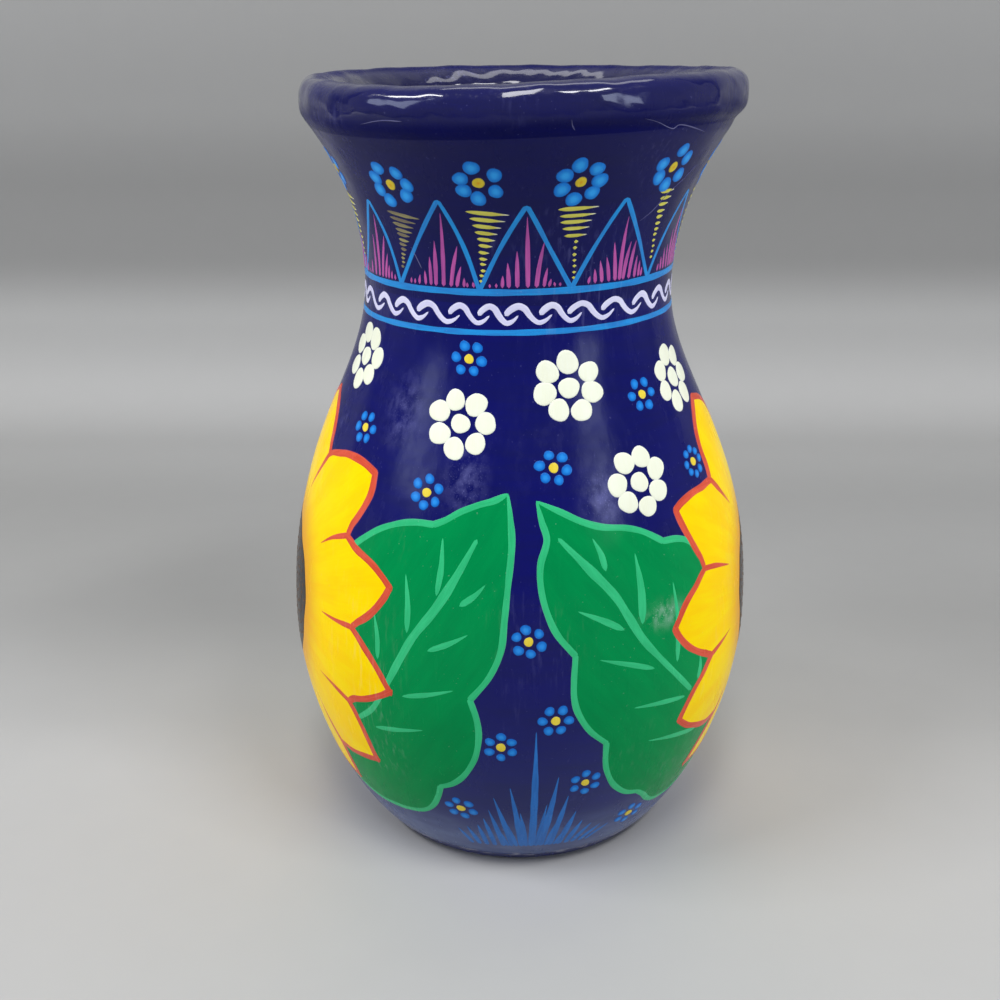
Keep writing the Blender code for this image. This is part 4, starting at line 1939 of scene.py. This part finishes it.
    @staticmethod
    def evened(seen: Sequence[float], count: int) -> list[float]:
        """Carry a row of places on round the back of the vase in even steps.

        Args:
            seen: Degrees of the places at the front.
            count: Number of places all round.

        Returns:
            Degrees of all the places, rising.
        """
        hidden = count - len(seen)
        gap = (seen[0] + 360 - seen[-1]) / (hidden + 1)
        return list(seen) + [seen[-1] + gap * (i + 1) for i in range(hidden)]

    def zigzag(self, layer: PaintLayer, apex: Spot, valleys: Spot) -> None:
        """One tooth of the zigzag, drawn with two strokes from its apex.

        Args:
            layer: Layer to paint on.
            apex: Place of the apex.
            valleys: Degrees of the valleys at its two sides.
        """
        for valley in valleys:
            foot = valley if abs(valley - apex[0]) < 180 else valley - 360
            low = self.line_up(self.upper_line, foot) + 0.4
            middle = ((apex[0] + foot) / 2 + layer.chance.uniform(-0.6, 0.6), (apex[1] + low) / 2)
            layer.stroke((apex, middle, (foot, low)), self.zigzag_wide, self.line_mm)

    def scroll(self) -> None:
        """Running scroll between the two lines, one brush stroke for each S."""
        layer = self.layer("neck_scroll", 52, 0.35)
        seen = (-70.8, -56.6, -44.8, -33.1, -20.6, -10.1, -0.4, 10.9, 21.2, 33.6, 46.6, 58.2, 69.9)
        humps = self.evened(seen, self.scrolls)
        shape = (
            (-0.38, -0.4), (-0.23, 1.2), (0, 2.35), (0.2, 1.7), (0.33, 0), (0.47, -1.5), (0.63, -2.35),
            (0.83, -1.7), (1.02, -0.1),
        )
        middle = (self.upper_line + self.lower_line) / 2 - 0.6
        for hump, after in zip(humps, humps[1:] + [humps[0] + 360]):
            height = self.line_up(middle, hump) + layer.chance.uniform(-0.15, 0.15)
            path = [(hump + along * (after - hump), height + rise) for along, rise in shape]
            layer.stroke(path, self.scroll_wide, self.scroll_mm, 0.0, Taper.BRUSH, step_mm=0.5)
        layer.build(SCROLL_WHITE)

    def blades(self, apexes: Sequence[float]) -> None:
        """Pink blades that fan up in each tooth of the zigzag.

        Args:
            apexes: Degrees of the apexes.
        """
        layer = self.layer("neck_blades", 53)
        order = (0, 1, 2, 3, 3)
        for number, apex in enumerate(apexes):
            fan = FANS[order[number] if number < len(order) else number % len(FANS)]
            for base, tip, height in fan:
                root = self.line_up(self.upper_line, apex + base) + 1.3
                top = root + height * layer.chance.uniform(0.96, 1.04)
                middle = (apex + 0.65 * base + 0.35 * tip, 0.55 * root + 0.45 * top)
                width = 0.9 + 0.65 * min(1.0, height / 10.0)
                path = ((apex + base, root), middle, (apex + tip, top))
                layer.stroke(path, width, self.line_mm, 0.0, Taper.BLADE, step_mm=0.6)
        layer.build(BLADE_PINK)

    def cones(self, valleys: Sequence[float]) -> None:
        """Hatched yellow cones that point down into the valleys; one of them was drawn with a dry brush.

        Args:
            valleys: Degrees of the valleys.
        """
        full = self.layer("neck_hatching", 54)
        dry = self.layer("neck_dry_hatching", 57)
        count = 12
        uneven, long_strokes = 2, 5
        for place, valley in enumerate(valleys):
            cone = Cone((valley + 1.5, 227.5), (valley + 0.3, 207.0))
            if place < len(SEEN_CONES):
                cone = SEEN_CONES[place]
            layer = dry if place == 0 else full
            for number in range(count):
                fall = number / (count - 1)
                eased = 1.15 * fall - 0.15 * fall * fall
                around = cone.first[0] + (cone.last[0] - cone.first[0]) * fall
                around += layer.chance.uniform(-0.3, 0.3)
                up = cone.first[1] + (cone.last[1] - cone.first[1]) * eased
                up += layer.chance.uniform(-0.15, 0.15)
                half = 0.8 + (cone.width / 2 - 0.8) * (1 - fall) ** 2.2
                if place == uneven:
                    half = cone.width / 2 - 0.65 * number if number < long_strokes else 0.7
                tilt = cone.tilt * half
                path = ((around - half, up - tilt), (around, up - 0.1), (around + half, up + tilt))
                layer.stroke(path, 1.35 * (1 - 0.3 * fall), self.line_mm, 0.0, Taper.DRAG, step_mm=0.5)
        full.build(HATCH_YELLOW)
        dry.build(DRY_YELLOW)

    def neck_flowers(self, valleys: Sequence[float]) -> None:
        """Blue dot flowers over the cones.

        Args:
            valleys: Degrees of the valleys.
        """
        blue = self.layer("neck_blue_dots", 55, 0.4)
        yellow = self.layer("neck_yellow_dots", 56, 0.4)
        seen = {
            0: (-39.7, 235.1, 5.8, 2.4, (115, 45, 5, -36, -114, -160, 159)),
            1: (-11.5, 236.8, 5.1, 2.3, (109, 26, -32, -95, -148, 162)),
            2: (16.3, 236, 5.3, 2.4, (154, 103, 47, 4, -40, -102, -157)),
            3: (46.7, 237.9, 5.3, 2.4, (80, 26, -30, -95, -148, 165)),
        }
        plain = (90, 30, -30, -90, -150, 150)
        for number, valley in enumerate(valleys):
            around, up, reach, size, ways = seen.get(number, (valley + 1.0, 236.5, 5.2, 2.4, plain))
            self.ring(blue, (around, up), ways, reach, size, self.small_dot_mm)
            yellow.dot((around, up), 1.75, self.small_dot_mm)
        blue.build(NECK_BLUE)
        yellow.build(CORE_YELLOW)

    def wear(self) -> None:
        """Fine scratch marks across the neck, and pale lines along the folds under the lip that are painted
        highlights.
        """
        layer = self.layer("scratches_and_fold_highlights", 61)
        scratches_and_fold_highlights = (
            ((60, 237.3), (56, 233.6), (49.8, 229.6), (45, 225), (40, 222.1)),
            ((-38.2, 215), (-36.5, 211.9), (-34.8, 208.7)),
            ((10.8, 256.4), (11.2, 254.6), (12, 253)),
            # Painted highlights: this line and the next follow the folds under the lip, where they catch the
            # light.
            ((28.4, 255.2), (33.2, 253.6), (38.6, 251.1), (41.4, 252.1), (52.9, 248.6)),
            ((-40.1, 255.7), (-34.1, 257), (-27.8, 257)),
        )
        for path in scratches_and_fold_highlights:
            layer.stroke(path, self.scratch_and_highlight_wide, self.scratch_and_highlight_mm, self.line_mm, Taper.LENS)
        layer.build(SCRATCH_AND_GLINT_PALE)


@dataclass(frozen=True)
class Studio:
    """Grey sweep with painted light and shade, soft lamps and the camera at the photograph's angle."""

    camera_place: Point = (-0.0064, -0.4175, 0.2633)
    camera_pitch: float = 20.09
    lens: float = 46.75
    # Painted light and shade on the sweep, by the sum of depth and height: lighter at the front, darker behind
    # the vase, a light band where the floor curves up, darker up the backdrop.
    sweep_painted_light: tuple[tuple[float, int], ...] = (
        (-0.20, 185), (0, 183), (0.06, 175), (0.16, 162), (0.30, 157), (0.40, 166), (0.50, 176),
        (0.60, 160), (0.68, 131), (0.74, 132), (0.81, 148), (0.90, 154),
    )
    daylight: Colour = (0.7, 0.78, 1.0)
    room_light: Colour = (0.136, 0.134, 0.130)
    room_seen: Colour = (0.34, 0.34, 0.34)
    lamps_aim: Point = (0.0, 0.0, 0.12)
    sweep_back: float = 0.42
    sweep_round: float = 0.18
    sweep_front: float = -1.6
    sweep_half_width: float = 2.2
    sweep_top: float = 1.6

    def sweep(self) -> None:
        """Build the floor that curves up into the backdrop, with light and shade painted along it."""
        turn = np.linspace(0, math.pi / 2, 24)
        out, rise = self.sweep_round * np.sin(turn), self.sweep_round * (1 - np.cos(turn))
        curve = list(zip((self.sweep_back + out).tolist(), rise.tolist()))
        line = [(self.sweep_front, 0.0)] + curve + [(self.sweep_back + self.sweep_round, self.sweep_top)]
        vertices = [(side * self.sweep_half_width, y, z) for y, z in line for side in (-1, 1)]
        faces = [[2 * i, 2 * i + 1, 2 * i + 3, 2 * i + 2] for i in range(len(line) - 1)]
        mesh = bpy.data.meshes.new("sweep")
        mesh.from_pydata(vertices, [], faces)
        mesh.shade_smooth()
        material, board, shader, place = start_material("sweep_grey_painted_light")
        axes = board.axes(place)
        reach = board.plus(axes["Y"], axes["Z"])
        painted_greys = [(place_along, srgb((grey, grey, grey - 1))) for place_along, grey in self.sweep_painted_light]
        colour = painted_greys[0][1]
        for (before, _), (after, grey) in zip(painted_greys, painted_greys[1:]):
            colour = board.mix(board.between(reach, before, after), colour, grey)
        grain = board.noise(place, (60, 60, 60), 4)
        speckle = board.mix(grain, (0.97, 0.97, 0.97), (1.0, 1.0, 1.0))
        product = board.add("ShaderNodeMix", data_type="RGBA", blend_type="MULTIPLY")
        product.inputs[0].default_value = 1.0
        board.join(colour, product.inputs[6])
        board.join(speckle, product.inputs[7])
        board.join(product.outputs[2], shader.inputs["Base Color"])
        shader.inputs["Roughness"].default_value = 0.75
        shader.inputs["Specular IOR Level"].default_value = 0.2
        mesh.materials.append(material)
        floor = bpy.data.objects.new("sweep", mesh)
        bpy.context.scene.collection.objects.link(floor)

    def lamp(
        self, name: str, place: Point, size: Spot, watts: float, colour: Colour = (1.0, 1.0, 1.0)
    ) -> Object:
        """Hang one soft box that faces the vase.

        Args:
            name: Name of the lamp.
            place: Where it hangs.
            size: Width and height of its face.
            watts: Its power.
            colour: Its colour.

        Returns:
            The lamp.
        """
        light = bpy.data.lights.new(name, "AREA")
        light.shape = "RECTANGLE"
        light.size, light.size_y = size
        light.energy = watts
        light.color = colour
        lamp = bpy.data.objects.new(name, light)
        lamp.location = place
        way = Vector(self.lamps_aim) - Vector(place)
        lamp.rotation_euler = way.to_track_quat("-Z", "Y").to_euler()
        bpy.context.scene.collection.objects.link(lamp)
        return lamp

    def lamps(self) -> None:
        """Hang the soft boxes and set the light of the room, which is dim but looks pale."""
        self.lamp("soft_box_front", (-0.05, -0.83, 1.59), (0.3, 0.8), 9.8)
        self.lamp("soft_box_left", (-1.03, -0.42, 1.35), (0.7, 0.16), 9.5)
        self.lamp("soft_box_right", (0.68, -0.76, 1.43), (0.7, 0.20), 10.0)
        self.lamp("strip_light_back", (0.12, 0.40, 1.30), (1.0, 0.22), 2.1)
        self.lamp("window_left", (-1.34, -0.62, 0.765), (0.48, 0.48), 3.0, self.daylight)
        self.lamp("window_right", (1.10, -1.06, 0.61), (0.42, 0.62), 4.0, self.daylight)
        for side, name, watts in ((-1, "low_fill_left", 7.6), (1, "low_fill_right", 6.4)):
            fill = self.lamp(name, (side * 1.49, 0.13, 0.18), (1.0, 0.3), watts)
            fill.visible_glossy = False
        world = bpy.data.worlds.new("room")
        world.use_nodes = True
        board = Board(world.node_tree)
        ray = board.add("ShaderNodeLightPath").outputs
        shown = board.math("MAXIMUM", ray["Is Glossy Ray"], ray["Is Transmission Ray"])
        seen = board.math("MAXIMUM", ray["Is Camera Ray"], shown)
        background = world.node_tree.nodes["Background"]
        board.join(board.mix(seen, self.room_light, self.room_seen), background.inputs["Color"])
        bpy.context.scene.world = world

    def camera(self) -> None:
        """Set up the camera."""
        data = bpy.data.cameras.new("camera")
        data.lens = self.lens
        data.sensor_width = 36.0
        data.sensor_fit = "HORIZONTAL"
        data.clip_start = 0.01
        camera = bpy.data.objects.new("camera", data)
        camera.location = self.camera_place
        camera.rotation_euler = (math.radians(90.0 - self.camera_pitch), 0.0, 0.0)
        bpy.context.scene.collection.objects.link(camera)
        bpy.context.scene.camera = camera

    def build(self) -> None:
        """Set up the whole studio."""
        self.sweep()
        self.lamps()
        self.camera()
        bpy.context.scene.view_settings.view_transform = "Standard"


def main() -> None:
    """Build the vase piece by piece, then the studio."""
    logging.basicConfig(level=logging.INFO, format="%(name)s %(message)s")
    effects = Effects()
    built = HandBuilt(Wall())
    ClaySections(built).build(effects)
    painting = Painting(built, effects)
    painting.leaves()
    painting.sunflowers()
    painting.dot_flowers()
    painting.grass()
    painting.neck()
    painting.wear()
    Studio().build()


if __name__ == "__main__":
    main()
